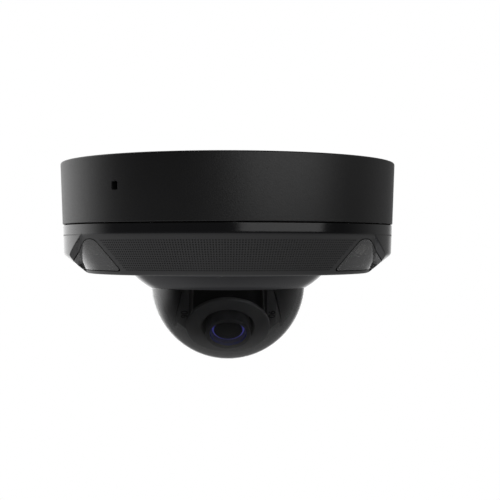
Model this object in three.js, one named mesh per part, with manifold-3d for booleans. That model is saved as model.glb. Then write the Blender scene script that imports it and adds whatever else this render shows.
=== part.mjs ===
// A mini dome camera for a ceiling, in millimetres, +Z up, front towards -Y.
// The origin is the middle of the face that lies against the ceiling, and the camera hangs down from it.
import * as THREE from "three";
import { mergeVertices } from "three/addons/utils/BufferGeometryUtils.js";
import Module from "manifold-3d";

const wasm = await Module();
wasm.setup();

// ---------------------------------------------------------------- driving dimensions

const GAP = 0.3; // clearance between pieces that touch or lie in each other
const linerGap = 0.5; // the dark line between a liner cheek and the yoke
const RUN = 0.6; // clearance round pieces that turn or slide
const ROUND = 36; // sides of the big round pieces
const TURNED = 20; // sides of the smaller turned pieces
const SMALL = 12; // sides of screws, posts and holes
const ARC = 8; // steps along a quarter of the dome
const SUNK = 0.5; // how far a joined post reaches into the plate that it stands on
const PAST = 1; // how far a cutting shape reaches past the face that it opens

const housing = {
  topRadius: 55,
  footRadius: 54.3,
  depth: 19.85,
  rimRound: 0.8,
  plate: 3,
  wall: 3.4,
  lip: 5,
  lipHeight: 2.4,
};
const ceilingHole = { radius: 2.3, at: 46.5, azimuths: [-90, 30, 150] };
const gasketGroove = { radius: 50.6, width: 1.4, depth: 1.2 };
const cableHole = { radius: 9, back: 20 };
const grommet = { bore: 4, flange: 1.9, flangeThick: 2, nose: 2.2, noseWall: 2.4 };
const coverPost = { radius: 3.8, at: 40, azimuths: [0, 120, -120], bore: 1.7, drilled: 9 };
const bracketLeg = { radius: 3.2, at: 27, azimuths: [0, 120, -120], bore: 1.3, drilled: 7 };
const boardPost = { radius: 2.8, at: 37, azimuths: [80, 180, -80], bore: 1.2, drilled: 4.6 };
const lampPost = { radius: 3, at: 43.5, azimuth: 66, height: 16.5 };

const microphone = { azimuth: -37.1, below: 9.25, width: 2.3, height: 2.6, radius: 3, length: 3.4 };
const microphoneBoot = { length: 4.4, radius: 3.6, bore: 1.5 };

const board = { top: 9, thick: 1.6, radius: 42 };
const processor = { size: 14, thick: 1.5, front: 8 };
const transformer = { x: -14, y: -24, width: 12, depth: 8, tall: 5 };
const cableHeader = { x: -14, y: 32, width: 12, depth: 6, tall: 6 };
const cardSlot = { x: 25, y: -10, width: 14, depth: 15, tall: 2.2 };
const card = { width: 11, length: 15, thick: 0.8, standsOut: 1.6 };
const resetSwitch = { x: -28, y: -10, size: 6, tall: 3.2, button: 1.5, buttonTall: 1.6, travel: 0.4 };

const screw = { headTall: 1.5, bore: 0.3, driver: 0.45 };
const boardScrew = { radius: 0.9, head: 2.3, length: 5.6 };
const bracketScrew = { radius: 1, head: 2.5, length: 8 };
const coverScrew = { radius: 1.4, head: 2.9, headTall: 2.2, engage: 7 };
const clampScrew = { radius: 0.9, head: 2.2, length: 4.4 };
const pivotScrew = { radius: 2.1, head: 3.2, headTall: 1.3, engage: 0.9, driver: 0.4 };

const cover = {
  seam: 0.3,
  topRadius: 54.15,
  shoulderRadius: 53.85,
  shoulder: 29.6,
  foot: 35.65,
  footRadius: 46.4,
  wall: 2.65,
  floor: 2.2,
  ledge: 2.5,
  ledgeDrop: 1.75,
  ledgeThick: 1.2,
  ledgeSlope: 1.5,
  tubeWall: 1,
  bossFloor: 1.2,
};
const recess = {
  topRadius: 54.1,
  top: 23.25,
  footRadius: 46.35,
  topAzimuth: 54.9,
  footAzimuth: 66.5,
  creaseAzimuth: 69.4,
  sideAzimuth: 78,
};
const lampWindow = {
  outer: 43.3,
  inner: 40.1,
  foot: 32.1,
  top: 24.85,
  bottom: 34.3,
  lean: 8,
  corner: 1.5,
  sideAzimuth: 86,
};
const lampBoard = { width: 14, height: 8, thick: 1, behind: 5.7 };
const lamp = { size: 3.5, tall: 1.6, spread: 3.4 };
const lampCarrier = { width: 10, depth: 7, reach: 8.2 };

const domeRing = {
  outer: 32,
  foot: 40.5,
  bulge: 0.7,
  lip: 0.1,
  flange: 34.1,
  flangeThick: 1.15,
};
const dome = { radius: 25.5, wall: 1.6, centre: 38.85, flange: 32, flangeThick: 1.3 };
const domeGasket = { width: 4, thick: 0.7 };
const domeClamp = { outer: 33.8, thick: 1.2, lugAt: 37, lug: 3.6, boss: 2.6, azimuths: [30, 150, -90] };

const bracket = { inner: 16, outer: 25, thick: 2, lug: 4.2, top: 17 };
const bearing = { outer: 24, thick: 2.7 };
const turntable = { radius: 23, thick: 2, bore: 11, hub: 15.4, retainer: 4, retainerThick: 1 };
const arm = { inner: 12, radius: 17.7, halfWidth: 13, foot: 15.6, corner: 27.8, ball: 23.1 };
const liner = { radius: 23.3, thick: 1.2, inner: 14.5, leanFrom: 2.15, lean: 0.26 };

const lensTilt = 45; // degrees that the lens looks down at rest
const shell = { radius: 11.4, wall: 1.2, back: 8, front: 17.7, floor: 1.2, slot: 7 };
const bezel = { radius: 13, thick: 1.2, opening: 8.2, sleeveWall: 1.4, sleeveBack: 5 };
const holder = { radius: 7.4, back: 0.8, front: 14.6 };
const barrel = { head: 6.95, headBack: 17, front: 22.3, thread: 5.9, back: 6, bore: 4.4, mouth: 5.7 };
const lensGlass = { radius: 5.1, back: 19, edge: 1, bulge: 1.1 };
const sensorBoard = { size: 12, thick: 1, front: 0 };
const sensor = { size: 7, thick: 1.4 };

// ---------------------------------------------------------------- shapes

const degrees = THREE.MathUtils.degToRad;

/** A closed geometry as a solid, with its faces pointing out. */
function solid(geometry) {
  const bare = new THREE.BufferGeometry();
  const loose = geometry.index ? geometry.toNonIndexed() : geometry;
  bare.setAttribute("position", loose.getAttribute("position").clone());
  const merged = mergeVertices(bare, 1e-4);
  const corners = [];
  const index = merged.index.array;
  for (let i = 0; i < index.length; i += 3) {
    const [a, b, c] = index.subarray(i, i + 3);
    if (a !== b && b !== c && c !== a) corners.push(a, b, c);
  }
  const vertProperties = new Float32Array(merged.getAttribute("position").array);
  const make = (list) => {
    const mesh = new wasm.Mesh({ numProp: 3, vertProperties, triVerts: new Uint32Array(list) });
    return new wasm.Manifold(mesh);
  };
  const first = make(corners);
  return first.volume() > 0 ? first : make(corners.reverse());
}

/** The geometry of a solid. */
function geometryOf(made) {
  const { vertProperties, triVerts } = made.getMesh();
  const geometry = new THREE.BufferGeometry();
  geometry.setAttribute("position", new THREE.BufferAttribute(new Float32Array(vertProperties), 3));
  geometry.setIndex(new THREE.BufferAttribute(new Uint32Array(triVerts), 1));
  const flat = geometry.toNonIndexed();
  flat.computeVertexNormals();
  return flat;
}

const combine = (how) => (first, ...rest) =>
  geometryOf(rest.flat().reduce((made, next) => made[how](solid(next)), solid(first)));
const join = combine("add");
const cut = combine("subtract");
const common = combine("intersect");

/** A turned shape about the Z axis, from points of radius and height. */
function turned(points, sides = ROUND) {
  const onAxis = points[0][0] === 0 && points.at(-1)[0] === 0;
  const outline = onAxis ? points : [...points, points[0]];
  const lathe = new THREE.LatheGeometry(
    outline.map(([radius, height]) => new THREE.Vector2(radius, height)),
    sides,
  );
  return lathe.rotateX(Math.PI / 2);
}

/** A ring of rectangular section. */
const ring = (inner, outer, low, high, sides = ROUND) =>
  turned([[inner, low], [outer, low], [outer, high], [inner, high]], sides);

/** An upright round bar. */
function bar(radius, low, high, [x, y] = [0, 0], sides = SMALL) {
  const geometry = new THREE.CylinderGeometry(radius, radius, high - low, sides);
  return geometry.rotateX(Math.PI / 2).translate(x, y, (low + high) / 2);
}

/** A block between two corners. */
function block([x0, y0, z0], [x1, y1, z1]) {
  const geometry = new THREE.BoxGeometry(x1 - x0, y1 - y0, z1 - z0);
  return geometry.translate((x0 + x1) / 2, (y0 + y1) / 2, (z0 + z1) / 2);
}

/** A block standing on a point, with its size. */
const blockAt = ([x, y], width, deep, low, high) =>
  block([x - width / 2, y - deep / 2, low], [x + width / 2, y + deep / 2, high]);

/** The place at a distance from the axis, its azimuth counted from the front towards +X. */
function place(radius, azimuth) {
  const turn = degrees(azimuth);
  return [radius * Math.sin(turn), -radius * Math.cos(turn)];
}
const places = ({ at, azimuths }) => azimuths.map((azimuth) => place(at, azimuth));

/** Everything on the side of a plane that its normal points to, out to a limit. */
function halfSpace(normal, point, limit = 200) {
  const geometry = new THREE.BoxGeometry(2 * limit, 2 * limit, limit).translate(0, 0, limit / 2);
  const turn = new THREE.Quaternion().setFromUnitVectors(new THREE.Vector3(0, 0, 1), normal);
  return geometry.applyQuaternion(turn).translate(point.x, point.y, point.z);
}

/** Points along a round arc in the plane of radius and height. */
function arc(radius, centre, from, to, steps) {
  return Array.from({ length: steps + 1 }, (_, i) => {
    const turn = degrees(from + ((to - from) * i) / steps);
    const reach = radius * Math.cos(turn);
    return [Math.abs(reach) < 1e-9 ? 0 : reach, centre + radius * Math.sin(turn)];
  });
}

/** A convex outline moved outwards by a distance, on every side. */
function grown(corners, distance) {
  const count = corners.length;
  const middle = corners.reduce((sum, c) => sum.add(c), new THREE.Vector2()).divideScalar(count);
  const edges = corners.map((start, i) => {
    const along = corners[(i + 1) % count].clone().sub(start).normalize();
    const out = new THREE.Vector2(along.y, -along.x);
    if (out.dot(start.clone().sub(middle)) < 0) out.negate();
    return { from: start.clone().addScaledVector(out, distance), along };
  });
  return edges.map(({ from, along }, i) => {
    const before = edges[(i + count - 1) % count];
    const reach = before.from.clone().sub(from).cross(before.along) / along.cross(before.along);
    return from.clone().addScaledVector(along, reach);
  });
}

/** A shape with rounded corners, each rounding kept within half of the edges it joins. */
function roundedShape(corners, radius) {
  const shape = new THREE.Shape();
  const count = corners.length;
  corners.forEach((corner, i) => {
    const towards = (other) => {
      const step = other.clone().sub(corner);
      const reach = Math.min(radius, 0.48 * step.length());
      return corner.clone().addScaledVector(step.normalize(), reach);
    };
    const start = towards(corners[(i + count - 1) % count]);
    const end = towards(corners[(i + 1) % count]);
    if (i === 0) shape.moveTo(start.x, start.y);
    else shape.lineTo(start.x, start.y);
    shape.quadraticCurveTo(corner.x, corner.y, end.x, end.y);
  });
  shape.closePath();
  return shape;
}

/** The same piece on the other side of the camera. */
const mirrored = (geometry) =>
  geometryOf(solid(geometry.clone().applyMatrix4(new THREE.Matrix4().makeScale(-1, 1, 1))));

// ---------------------------------------------------------------- finishes

const finishes = {
  blackCoat: { color: 0x1b1b1c, roughness: 0.55, metalness: 0.1 },
  blackPlastic: { color: 0x151516, roughness: 0.3, metalness: 0 },
  darkPlastic: { color: 0x1e1e20, roughness: 0.6, metalness: 0 },
  smokedClear: { color: 0x77787a, roughness: 0.1, metalness: 0 },
  clear: { color: 0xb8c2c8, roughness: 0.02, metalness: 0 },
  rubber: { color: 0x101010, roughness: 0.9, metalness: 0 },
  circuit: { color: 0x1d4d33, roughness: 0.5, metalness: 0 },
  chip: { color: 0x17181a, roughness: 0.5, metalness: 0 },
  steel: { color: 0xa9abad, roughness: 0.35, metalness: 1 },
  blackSteel: { color: 0x222325, roughness: 0.4, metalness: 1 },
  aluminium: { color: 0x8f9194, roughness: 0.4, metalness: 1 },
  lampWhite: { color: 0xe6e2cf, roughness: 0.4, metalness: 0 },
  lensGlass: { color: 0x1c1a3a, roughness: 0.02, metalness: 0 },
  padGrey: { color: 0x8b8f96, roughness: 0.9, metalness: 0 },
};

function piece(name, geometry, finish) {
  const material = new THREE.MeshStandardMaterial(finishes[finish]);
  const mesh = new THREE.Mesh(geometryOf(solid(geometry)), material);
  mesh.name = name;
  return mesh;
}

/** A screw with its head against a face that looks down, and its shank going up. */
function screwDown(name, [x, y], face, { radius, head, length, headTall = screw.headTall }) {
  const top = face - GAP;
  const shank = bar(radius, top - headTall / 2, top + length, [x, y]);
  const cap = bar(head, top - headTall, top, [x, y]);
  const driver = new THREE.CylinderGeometry(head * screw.driver, head * screw.driver, headTall, 6);
  driver.rotateX(Math.PI / 2).translate(x, y, top - headTall);
  return piece(name, cut(join(shank, cap), driver), "steel");
}

// ---------------------------------------------------------------- base housing

const plateFoot = -housing.plate;
const housingFoot = -housing.depth;
const coverTop = housingFoot - cover.seam;
const boardTop = -board.top;
const boardFoot = boardTop - board.thick;
const bracketTop = -bracket.top;
const housingInner = housing.topRadius - housing.wall;
const lipInner = housing.footRadius - housing.lip;
const cablePlace = [0, cableHole.back];

function baseHousing() {
  const lipTop = housingFoot + housing.lipHeight;
  const shellShape = turned([
    [0, 0],
    [housing.topRadius - housing.rimRound, 0],
    [housing.topRadius - housing.rimRound * 0.3, -housing.rimRound * 0.3],
    [housing.topRadius, -housing.rimRound],
    [housing.footRadius, housingFoot],
    [lipInner, housingFoot],
    [lipInner, lipTop],
    [housingInner, lipTop + 1],
    [housingInner, plateFoot],
    [0, plateFoot],
  ]);
  const sunk = plateFoot + SUNK;
  const posts = [
    ...places(coverPost).map((at) => bar(coverPost.radius, housingFoot, sunk, at)),
    ...places(bracketLeg).map((at) => bar(bracketLeg.radius, bracketTop + GAP, sunk, at)),
    ...places(boardPost).map((at) => bar(boardPost.radius, boardTop + GAP, sunk, at)),
    ...lampPostPlaces.map((at) => bar(lampPost.radius, plateFoot - lampPost.height, sunk, at)),
  ];
  const groove = ring(
    gasketGroove.radius - gasketGroove.width / 2 - GAP,
    gasketGroove.radius + gasketGroove.width / 2 + GAP,
    -gasketGroove.depth - GAP,
    1,
  );
  const drilledUp = ({ bore, drilled }, foot) => (at) => bar(bore, foot - PAST, foot + drilled, at);
  const holes = [
    groove,
    bar(cableHole.radius, plateFoot - PAST, PAST, cablePlace, TURNED),
    ...places(ceilingHole).map((at) => bar(ceilingHole.radius, plateFoot - PAST, PAST, at)),
    ...places(coverPost).map(drilledUp(coverPost, housingFoot)),
    ...places(bracketLeg).map(drilledUp(bracketLeg, bracketTop)),
    ...places(boardPost).map(drilledUp(boardPost, boardTop)),
    microphoneHole(),
  ];
  return piece("base_housing", cut(join(shellShape, posts), holes), "blackCoat");
}

const lampPostPlaces = [lampPost.azimuth, -lampPost.azimuth].map((azimuth) =>
  place(lampPost.at, azimuth),
);

/** A piece drawn along +Z is laid down to point out from the axis, at the microphone's place. */
function towardsMicrophone(geometry, radius) {
  const [x, y] = place(radius, microphone.azimuth);
  geometry.rotateX(Math.PI / 2).rotateZ(degrees(microphone.azimuth));
  return geometry.translate(x, y, -microphone.below);
}

function microphoneHole() {
  const passage = new THREE.BoxGeometry(microphone.width, microphone.height, 2 * housing.wall + 2);
  return towardsMicrophone(passage, housing.topRadius - housing.wall / 2);
}

function microphoneParts() {
  const bootMiddle = housingInner - GAP - microphoneBoot.length / 2;
  const boot = ring(
    microphoneBoot.bore,
    microphoneBoot.radius,
    -microphoneBoot.length / 2,
    microphoneBoot.length / 2,
    TURNED,
  );
  const capsuleMiddle = bootMiddle - microphoneBoot.length / 2 - GAP - microphone.length / 2;
  const capsule = new THREE.CylinderGeometry(microphone.radius, microphone.radius, microphone.length, SMALL);
  return [
    piece("microphone_boot", towardsMicrophone(boot, bootMiddle), "rubber"),
    piece("microphone", towardsMicrophone(capsule.rotateX(Math.PI / 2), capsuleMiddle), "aluminium"),
  ];
}

function ceilingGasket() {
  const half = gasketGroove.width / 2;
  const shape = ring(gasketGroove.radius - half, gasketGroove.radius + half, -gasketGroove.depth, 0);
  return piece("ceiling_gasket", shape, "rubber");
}

function cableGrommet() {
  const neck = cableHole.radius - GAP;
  const flangeTop = plateFoot - GAP;
  const flangeFoot = flangeTop - grommet.flangeThick;
  const noseFoot = flangeFoot - grommet.nose;
  const shape = turned(
    [
      [grommet.bore, -GAP],
      [neck, -GAP],
      [neck, flangeTop],
      [neck + grommet.flange, flangeTop],
      [neck + grommet.flange, flangeFoot],
      [grommet.bore + grommet.noseWall, noseFoot],
      [grommet.bore, noseFoot],
    ],
    TURNED,
  );
  return piece("cable_grommet", shape.translate(...cablePlace, 0), "rubber");
}

// ---------------------------------------------------------------- electronics

function mainBoard() {
  const disc = bar(board.radius, boardFoot, boardTop, [0, 0], ROUND);
  const through = (radius) => (at) => bar(radius, boardFoot - PAST, boardTop + PAST, at);
  const holes = [
    through(cableHole.radius + grommet.flange + RUN)(cablePlace),
    ...places(coverPost).map(through(coverPost.radius + RUN)),
    ...places(bracketLeg).map(through(bracketLeg.radius + RUN)),
    ...places(boardPost).map(through(boardScrew.radius + screw.bore)),
    ...lampPostPlaces.map(through(lampPost.radius + RUN)),
  ];
  return piece("main_board", cut(disc, holes), "circuit");
}

function boardParts() {
  const under = boardFoot - GAP;
  const chipFoot = boardTop + GAP;
  const chipTop = chipFoot + processor.thick;
  const chipPlace = [0, -processor.front];
  const square = (size, low, high) => blockAt(chipPlace, size, size, low, high);
  const below = ({ x, y, width, depth, tall }) => blockAt([x, y], width, depth, under - tall, under);
  return [
    piece("processor", square(processor.size, chipFoot, chipTop), "chip"),
    piece("thermal_pad", square(processor.size - 2, chipTop + GAP, plateFoot - GAP), "padGrey"),
    piece("network_transformer", below(transformer), "chip"),
    piece("cable_header", below(cableHeader), "lampWhite"),
  ];
}

const cardMiddle = boardFoot - GAP - cardSlot.tall / 2;

function cardReader() {
  const under = boardFoot - GAP;
  const cardFront = cardSlot.y - cardSlot.depth / 2 - card.standsOut;
  const cardBack = cardFront + card.length;
  const pocket = block(
    [cardSlot.x - card.width / 2 - GAP, cardSlot.y - cardSlot.depth, cardMiddle - card.thick / 2 - GAP],
    [cardSlot.x + card.width / 2 + GAP, cardBack + GAP, cardMiddle + card.thick / 2 + GAP],
  );
  const body = blockAt([cardSlot.x, cardSlot.y], cardSlot.width, cardSlot.depth, under - cardSlot.tall, under);
  const cardShape = block(
    [cardSlot.x - card.width / 2, cardFront, cardMiddle - card.thick / 2],
    [cardSlot.x + card.width / 2, cardBack, cardMiddle + card.thick / 2],
  );
  return [piece("card_slot", cut(body, pocket), "steel"), piece("memory_card", cardShape, "darkPlastic")];
}

function resetParts() {
  const { x, y, size, tall, button, buttonTall, travel } = resetSwitch;
  const top = boardFoot - GAP;
  const foot = top - tall;
  const well = bar(button + GAP, foot - PAST, foot + travel + 2 * GAP, [x, y]);
  const body = cut(blockAt([x, y], size, size, foot, top), well);
  const cap = bar(button, foot - buttonTall, foot + GAP, [x, y]);
  return [piece("reset_switch", body, "darkPlastic"), piece("reset_button", cap, "lampWhite")];
}

// ---------------------------------------------------------------- infrared lamps

const recessSlope = (recess.topRadius - recess.footRadius) / (cover.foot - recess.top);
const recessOut = new THREE.Vector3(1, 0, -recessSlope).normalize();
const recessRadius = (height) => recess.topRadius - recessSlope * (-height - recess.top);
const recessRadialWall = cover.floor / recessOut.x;
const lampHeight = -(lampWindow.top + lampWindow.bottom) / 2;

/** Moves a piece drawn flat, with +X facing out, to lie behind a window, on the right-hand side. */
function behindWindow(geometry, depth) {
  const out = recessRadius(lampHeight) - recessOut.x * depth;
  const height = lampHeight - recessOut.z * depth;
  geometry.rotateY(Math.atan2(-recessOut.z, recessOut.x)).translate(out, 0, height);
  return geometry.rotateZ(degrees(lampPost.azimuth - 90));
}

function lampParts() {
  const { width, height, thick, behind } = lampBoard;
  const circuit = behindWindow(new THREE.BoxGeometry(thick, width, height), behind + thick / 2);
  const lampDepth = behind - GAP - lamp.tall / 2;
  const lamps = [-1, 1].map((side) => {
    const base = new THREE.BoxGeometry(lamp.tall, lamp.size, lamp.size);
    return behindWindow(base.translate(0, side * lamp.spread, 0), lampDepth);
  });
  const [x, y] = place(lampPost.at, lampPost.azimuth);
  const carrierTop = plateFoot - lampPost.height - GAP;
  const { depth, width: across, reach } = lampCarrier;
  const upright = blockAt([0, 0], depth, across, carrierTop - reach, carrierTop);
  upright.rotateZ(degrees(lampPost.azimuth - 90)).translate(x, y, 0);
  const carrier = cut(upright, behindWindow(new THREE.BoxGeometry(40, 40, 60), behind + thick + GAP - 20));
  const made = [
    ["lamp_board", circuit, "circuit"],
    ["lamp_front", lamps[0], "lampWhite"],
    ["lamp_side", lamps[1], "lampWhite"],
    ["lamp_carrier", carrier, "darkPlastic"],
  ];
  return made.flatMap(([name, shape, finish]) => [
    piece(name + "_right", shape, finish),
    piece(name + "_left", mirrored(shape), finish),
  ]);
}

// ---------------------------------------------------------------- cover

/** The region in front of the recess surface and between its two side walls. */
function recessCutter() {
  const on = (radius, azimuth, height) => {
    const [x, y] = place(radius, azimuth);
    return new THREE.Vector3(x, y, height);
  };
  const top = on(recess.topRadius, recess.topAzimuth, -recess.top);
  const foot = on(cover.shoulderRadius, recess.footAzimuth, -cover.shoulder);
  const crease = on(recessRadius(-cover.shoulder), recess.creaseAzimuth, -cover.shoulder);
  const normal = foot.clone().sub(top).cross(crease.clone().sub(top)).normalize();
  if (normal.x > 0) normal.negate();
  const side = halfSpace(normal, top);
  const [sideX, sideY] = place(1, recess.sideAzimuth);
  const limit = halfSpace(new THREE.Vector3(sideY, -sideX, 0), new THREE.Vector3());
  const front = common(side, mirrored(side), limit, mirrored(limit));
  const low = -cover.foot - 10;
  const surface = turned([[0, low], [recessRadius(low), low], [recessRadius(0), 0], [0, 0]]);
  return cut(front, surface);
}

const coverFoot = -cover.foot;
const coverFloor = coverFoot + cover.floor;
const innerRadius = (height) => recessRadius(height) - recessRadialWall;
const coverInner = cover.topRadius - cover.wall;
const ledgeTop = coverTop - cover.ledgeDrop;
const ledgeFoot = ledgeTop - cover.ledgeThick;

const coverOutside = cut(
  turned([
    [0, coverFoot],
    [cover.footRadius, coverFoot],
    [cover.shoulderRadius, -cover.shoulder],
    [cover.topRadius, coverTop],
    [0, coverTop],
  ]),
  recessCutter(),
);

function coverInside() {
  const meet = ledgeFoot - cover.ledgeSlope;
  return turned([
    [0, coverFloor],
    [innerRadius(coverFloor), coverFloor],
    [innerRadius(meet), meet],
    [coverInner - cover.ledge, ledgeFoot],
    [coverInner - cover.ledge, ledgeTop],
    [coverInner, ledgeTop],
    [coverInner, coverTop + PAST],
    [0, coverTop + PAST],
  ]);
}

/** The right-hand window's outline seen from the front, pushed through the cover. */
function windowPrism(extra) {
  const { outer, inner, foot, top, bottom, lean } = lampWindow;
  const corners = [
    new THREE.Vector2(outer, -top),
    new THREE.Vector2(inner, -top),
    new THREE.Vector2(foot, -bottom),
    new THREE.Vector2(outer + lean, -bottom),
  ];
  const shape = roundedShape(grown(corners, extra), lampWindow.corner + extra);
  const depth = cover.topRadius + 2;
  const prism = new THREE.ExtrudeGeometry(shape, { depth, bevelEnabled: false, curveSegments: 3 });
  prism.rotateX(Math.PI / 2);
  const [sideX, sideY] = place(1, lampWindow.sideAzimuth);
  const normal = new THREE.Vector3(sideY, -sideX, 0);
  return common(prism, halfSpace(normal, normal.clone().multiplyScalar(-extra)));
}

function lampWindows() {
  const within = turned([
    [0, coverFloor],
    [innerRadius(coverFloor), coverFloor],
    [innerRadius(0), 0],
    [0, 0],
  ]);
  const shape = cut(common(coverOutside, windowPrism(0)), within);
  return [
    piece("lamp_window_right", shape, "smokedClear"),
    piece("lamp_window_left", mirrored(shape), "smokedClear"),
  ];
}

function frontCover() {
  const post = { radius: coverPost.radius + cover.tubeWall, foot: coverFloor - SUNK, top: housingFoot - GAP };
  const tubes = places(coverPost).map((at) => bar(post.radius, post.foot, post.top, at));
  const bosses = places({ at: domeClamp.lugAt, azimuths: domeClamp.azimuths }).map((at) =>
    bar(domeClamp.boss, coverFloor - SUNK, clampFoot - GAP, at),
  );
  const prism = windowPrism(GAP);
  const headRoom = coverFoot + coverScrew.headTall + 3 * GAP;
  const holes = [
    bar(domeRing.outer + GAP, coverFoot - PAST, coverFloor + PAST, [0, 0], ROUND),
    prism,
    mirrored(prism),
    ...places(coverPost).map((at) => bar(coverScrew.radius + GAP, coverFoot - PAST, coverTop + 2 * PAST, at)),
    ...places(coverPost).map((at) => bar(coverScrew.head + GAP, coverFoot - PAST, headRoom, at)),
    ...places({ at: domeClamp.lugAt, azimuths: domeClamp.azimuths }).map((at) =>
      bar(clampScrew.radius + GAP, coverFoot + cover.bossFloor, clampFoot, at),
    ),
  ];
  const shellShape = cut(coverOutside, coverInside());
  return piece("front_cover", cut(join(shellShape, tubes, bosses), holes), "blackPlastic");
}

/** A captive cover screw, its head sunk in the cover's foot. */
function coverScrews() {
  const face = coverFoot + coverScrew.headTall + 3 * GAP;
  const length = housingFoot + coverScrew.engage - (face - GAP);
  return places(coverPost).map((at, i) =>
    screwDown(`cover_screw_${i + 1}`, at, face, { ...coverScrew, length }),
  );
}

const coverGasket = () => {
  const outer = coverInner - GAP;
  const inner = coverInner - cover.ledge + GAP;
  return piece("cover_gasket", ring(inner, outer, ledgeTop + GAP, coverTop), "rubber");
};

// ---------------------------------------------------------------- dome

const flangeTopOfRing = coverFloor + GAP + domeRing.flangeThick;
const gasketTop = flangeTopOfRing + GAP + domeGasket.thick;
const domeFlangeFoot = gasketTop + GAP;
const domeFlangeTop = domeFlangeFoot + dome.flangeThick;
const clampFoot = domeFlangeTop + GAP;
const domeCentre = -dome.centre;

function domeTrim() {
  const bore = dome.radius + GAP;
  const curve = new THREE.QuadraticBezierCurve(
    new THREE.Vector2(domeRing.outer, coverFoot),
    new THREE.Vector2((domeRing.outer + bore) / 2, (coverFoot - domeRing.foot) / 2 - domeRing.bulge),
    new THREE.Vector2(bore + domeRing.lip, -domeRing.foot),
  );
  const flare = curve.getPoints(4).map(({ x, y }) => [x, y]);
  const shape = turned([
    [bore, -domeRing.foot],
    [bore, flangeTopOfRing],
    [domeRing.flange, flangeTopOfRing],
    [domeRing.flange, coverFloor + GAP],
    [domeRing.outer, coverFloor + GAP],
    ...flare,
  ]);
  return piece("dome_ring", shape, "blackPlastic");
}

function clearDome() {
  const inner = dome.radius - dome.wall;
  const outside = arc(dome.radius, domeCentre, -90, 0, ARC);
  const inside = arc(inner, domeCentre, 0, -90, ARC);
  const shape = turned(
    [
      ...outside,
      [dome.radius, domeFlangeFoot],
      [dome.flange, domeFlangeFoot],
      [dome.flange, domeFlangeTop],
      [inner, domeFlangeTop],
      ...inside,
    ],
  );
  return piece("clear_dome", shape, "clear");
}

function domeSeal() {
  const middle = (dome.radius + dome.flange) / 2;
  const half = domeGasket.width / 2;
  const shape = ring(middle - half, middle + half, gasketTop - domeGasket.thick, gasketTop);
  return piece("dome_gasket", shape, "rubber");
}

function domeClampParts() {
  const lugs = places({ at: domeClamp.lugAt, azimuths: domeClamp.azimuths });
  const top = clampFoot + domeClamp.thick;
  const plate = join(
    ring(dome.radius, domeClamp.outer, clampFoot, top),
    lugs.map((at) => bar(domeClamp.lug, clampFoot, top, at)),
  );
  const holes = lugs.map((at) => bar(clampScrew.radius + GAP, clampFoot - PAST, top + PAST, at));
  return [
    piece("dome_clamp", cut(plate, holes), "steel"),
    ...lugs.map((at, i) => screwUpright(`clamp_screw_${i + 1}`, at, top, clampScrew)),
  ];
}

/** A screw with its head on a face that looks up, and its shank going down. */
function screwUpright(name, [x, y], face, size) {
  const turnedOver = screwDown(name, [0, 0], 0, size);
  turnedOver.geometry.rotateX(Math.PI).translate(x, y, face);
  return turnedOver;
}

// ---------------------------------------------------------------- gimbal: pan

const bracketFoot = bracketTop - bracket.thick;
const bearingTop = bracketFoot - GAP;
const bearingFoot = bearingTop - bearing.thick;
const turntableTop = bearingFoot - GAP;
const turntableFoot = turntableTop - turntable.thick;

function gimbalSupport() {
  const legs = places(bracketLeg);
  const plate = join(
    ring(bracket.inner, bracket.outer, bracketFoot, bracketTop),
    legs.map((at) => bar(bracket.lug, bracketFoot, bracketTop, at)),
  );
  const holes = [
    ...legs.map((at) => bar(bracketScrew.radius + GAP, bracketFoot - PAST, bracketTop + PAST, at)),
    bar(bracket.inner, bracketFoot - PAST, bracketTop + PAST, [0, 0], ROUND),
  ];
  const track = ring(bracket.inner, bearing.outer, bearingFoot, bearingTop);
  return [
    piece("gimbal_bracket", cut(plate, holes), "steel"),
    piece("pan_bearing", track, "darkPlastic"),
    ...legs.map((at, i) => screwDown(`bracket_screw_${i + 1}`, at, bracketFoot, bracketScrew)),
  ];
}

const armOuter = liner.inner - linerGap;

/** One arm of the yoke, a flat plate that the lens module is hung in, on the right-hand side. */
function yokeArm() {
  const top = turntableFoot + turntable.thick / 2 - domeCentre;
  const shoulder = Math.acos(arm.halfWidth / arm.radius);
  const heel = -Math.asin(arm.foot / arm.radius);
  const outline = new THREE.Shape();
  outline.moveTo(-arm.halfWidth, top);
  outline.lineTo(arm.halfWidth, top);
  outline.absarc(0, 0, arm.radius, shoulder, heel, true);
  outline.absarc(0, 0, arm.radius, Math.PI - heel, Math.PI - shoulder, true);
  outline.closePath();
  const widest = armOuter + liner.lean * arm.foot;
  const options = { depth: widest - arm.inner, bevelEnabled: false, curveSegments: 7 };
  const plate = new THREE.ExtrudeGeometry(outline, options);
  plate.rotateX(Math.PI / 2).rotateZ(Math.PI / 2).translate(arm.inner, 0, domeCentre);
  const edge = new THREE.Vector3(armOuter, 0, domeCentre - liner.leanFrom);
  const upright = common(plate, halfSpace(new THREE.Vector3(-1, 0, 0), edge));
  const leaning = common(plate, halfSpace(new THREE.Vector3(-1, 0, -liner.lean).normalize(), edge));
  const corner = new THREE.Vector3(arm.corner, 0, domeCentre);
  return common(
    cut(join(upright, leaning), sideways(pivotScrew.radius + GAP, arm.inner - PAST, widest + PAST)),
    halfSpace(new THREE.Vector3(-1, 0, 1).normalize(), corner),
    armLimit(),
  );
}

/** The ball that the yoke stays inside, with a straight shaft above it. */
function armLimit() {
  const top = turntableTop;
  return turned([...arc(arm.ball, domeCentre, -90, 0, ARC), [arm.ball, top], [0, top]]);
}

/** A round bar along X on the tilt axis. */
function sideways(radius, from, to, sides = SMALL) {
  const geometry = new THREE.CylinderGeometry(radius, radius, to - from, sides);
  return geometry.rotateZ(Math.PI / 2).translate((from + to) / 2, 0, domeCentre);
}

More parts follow.
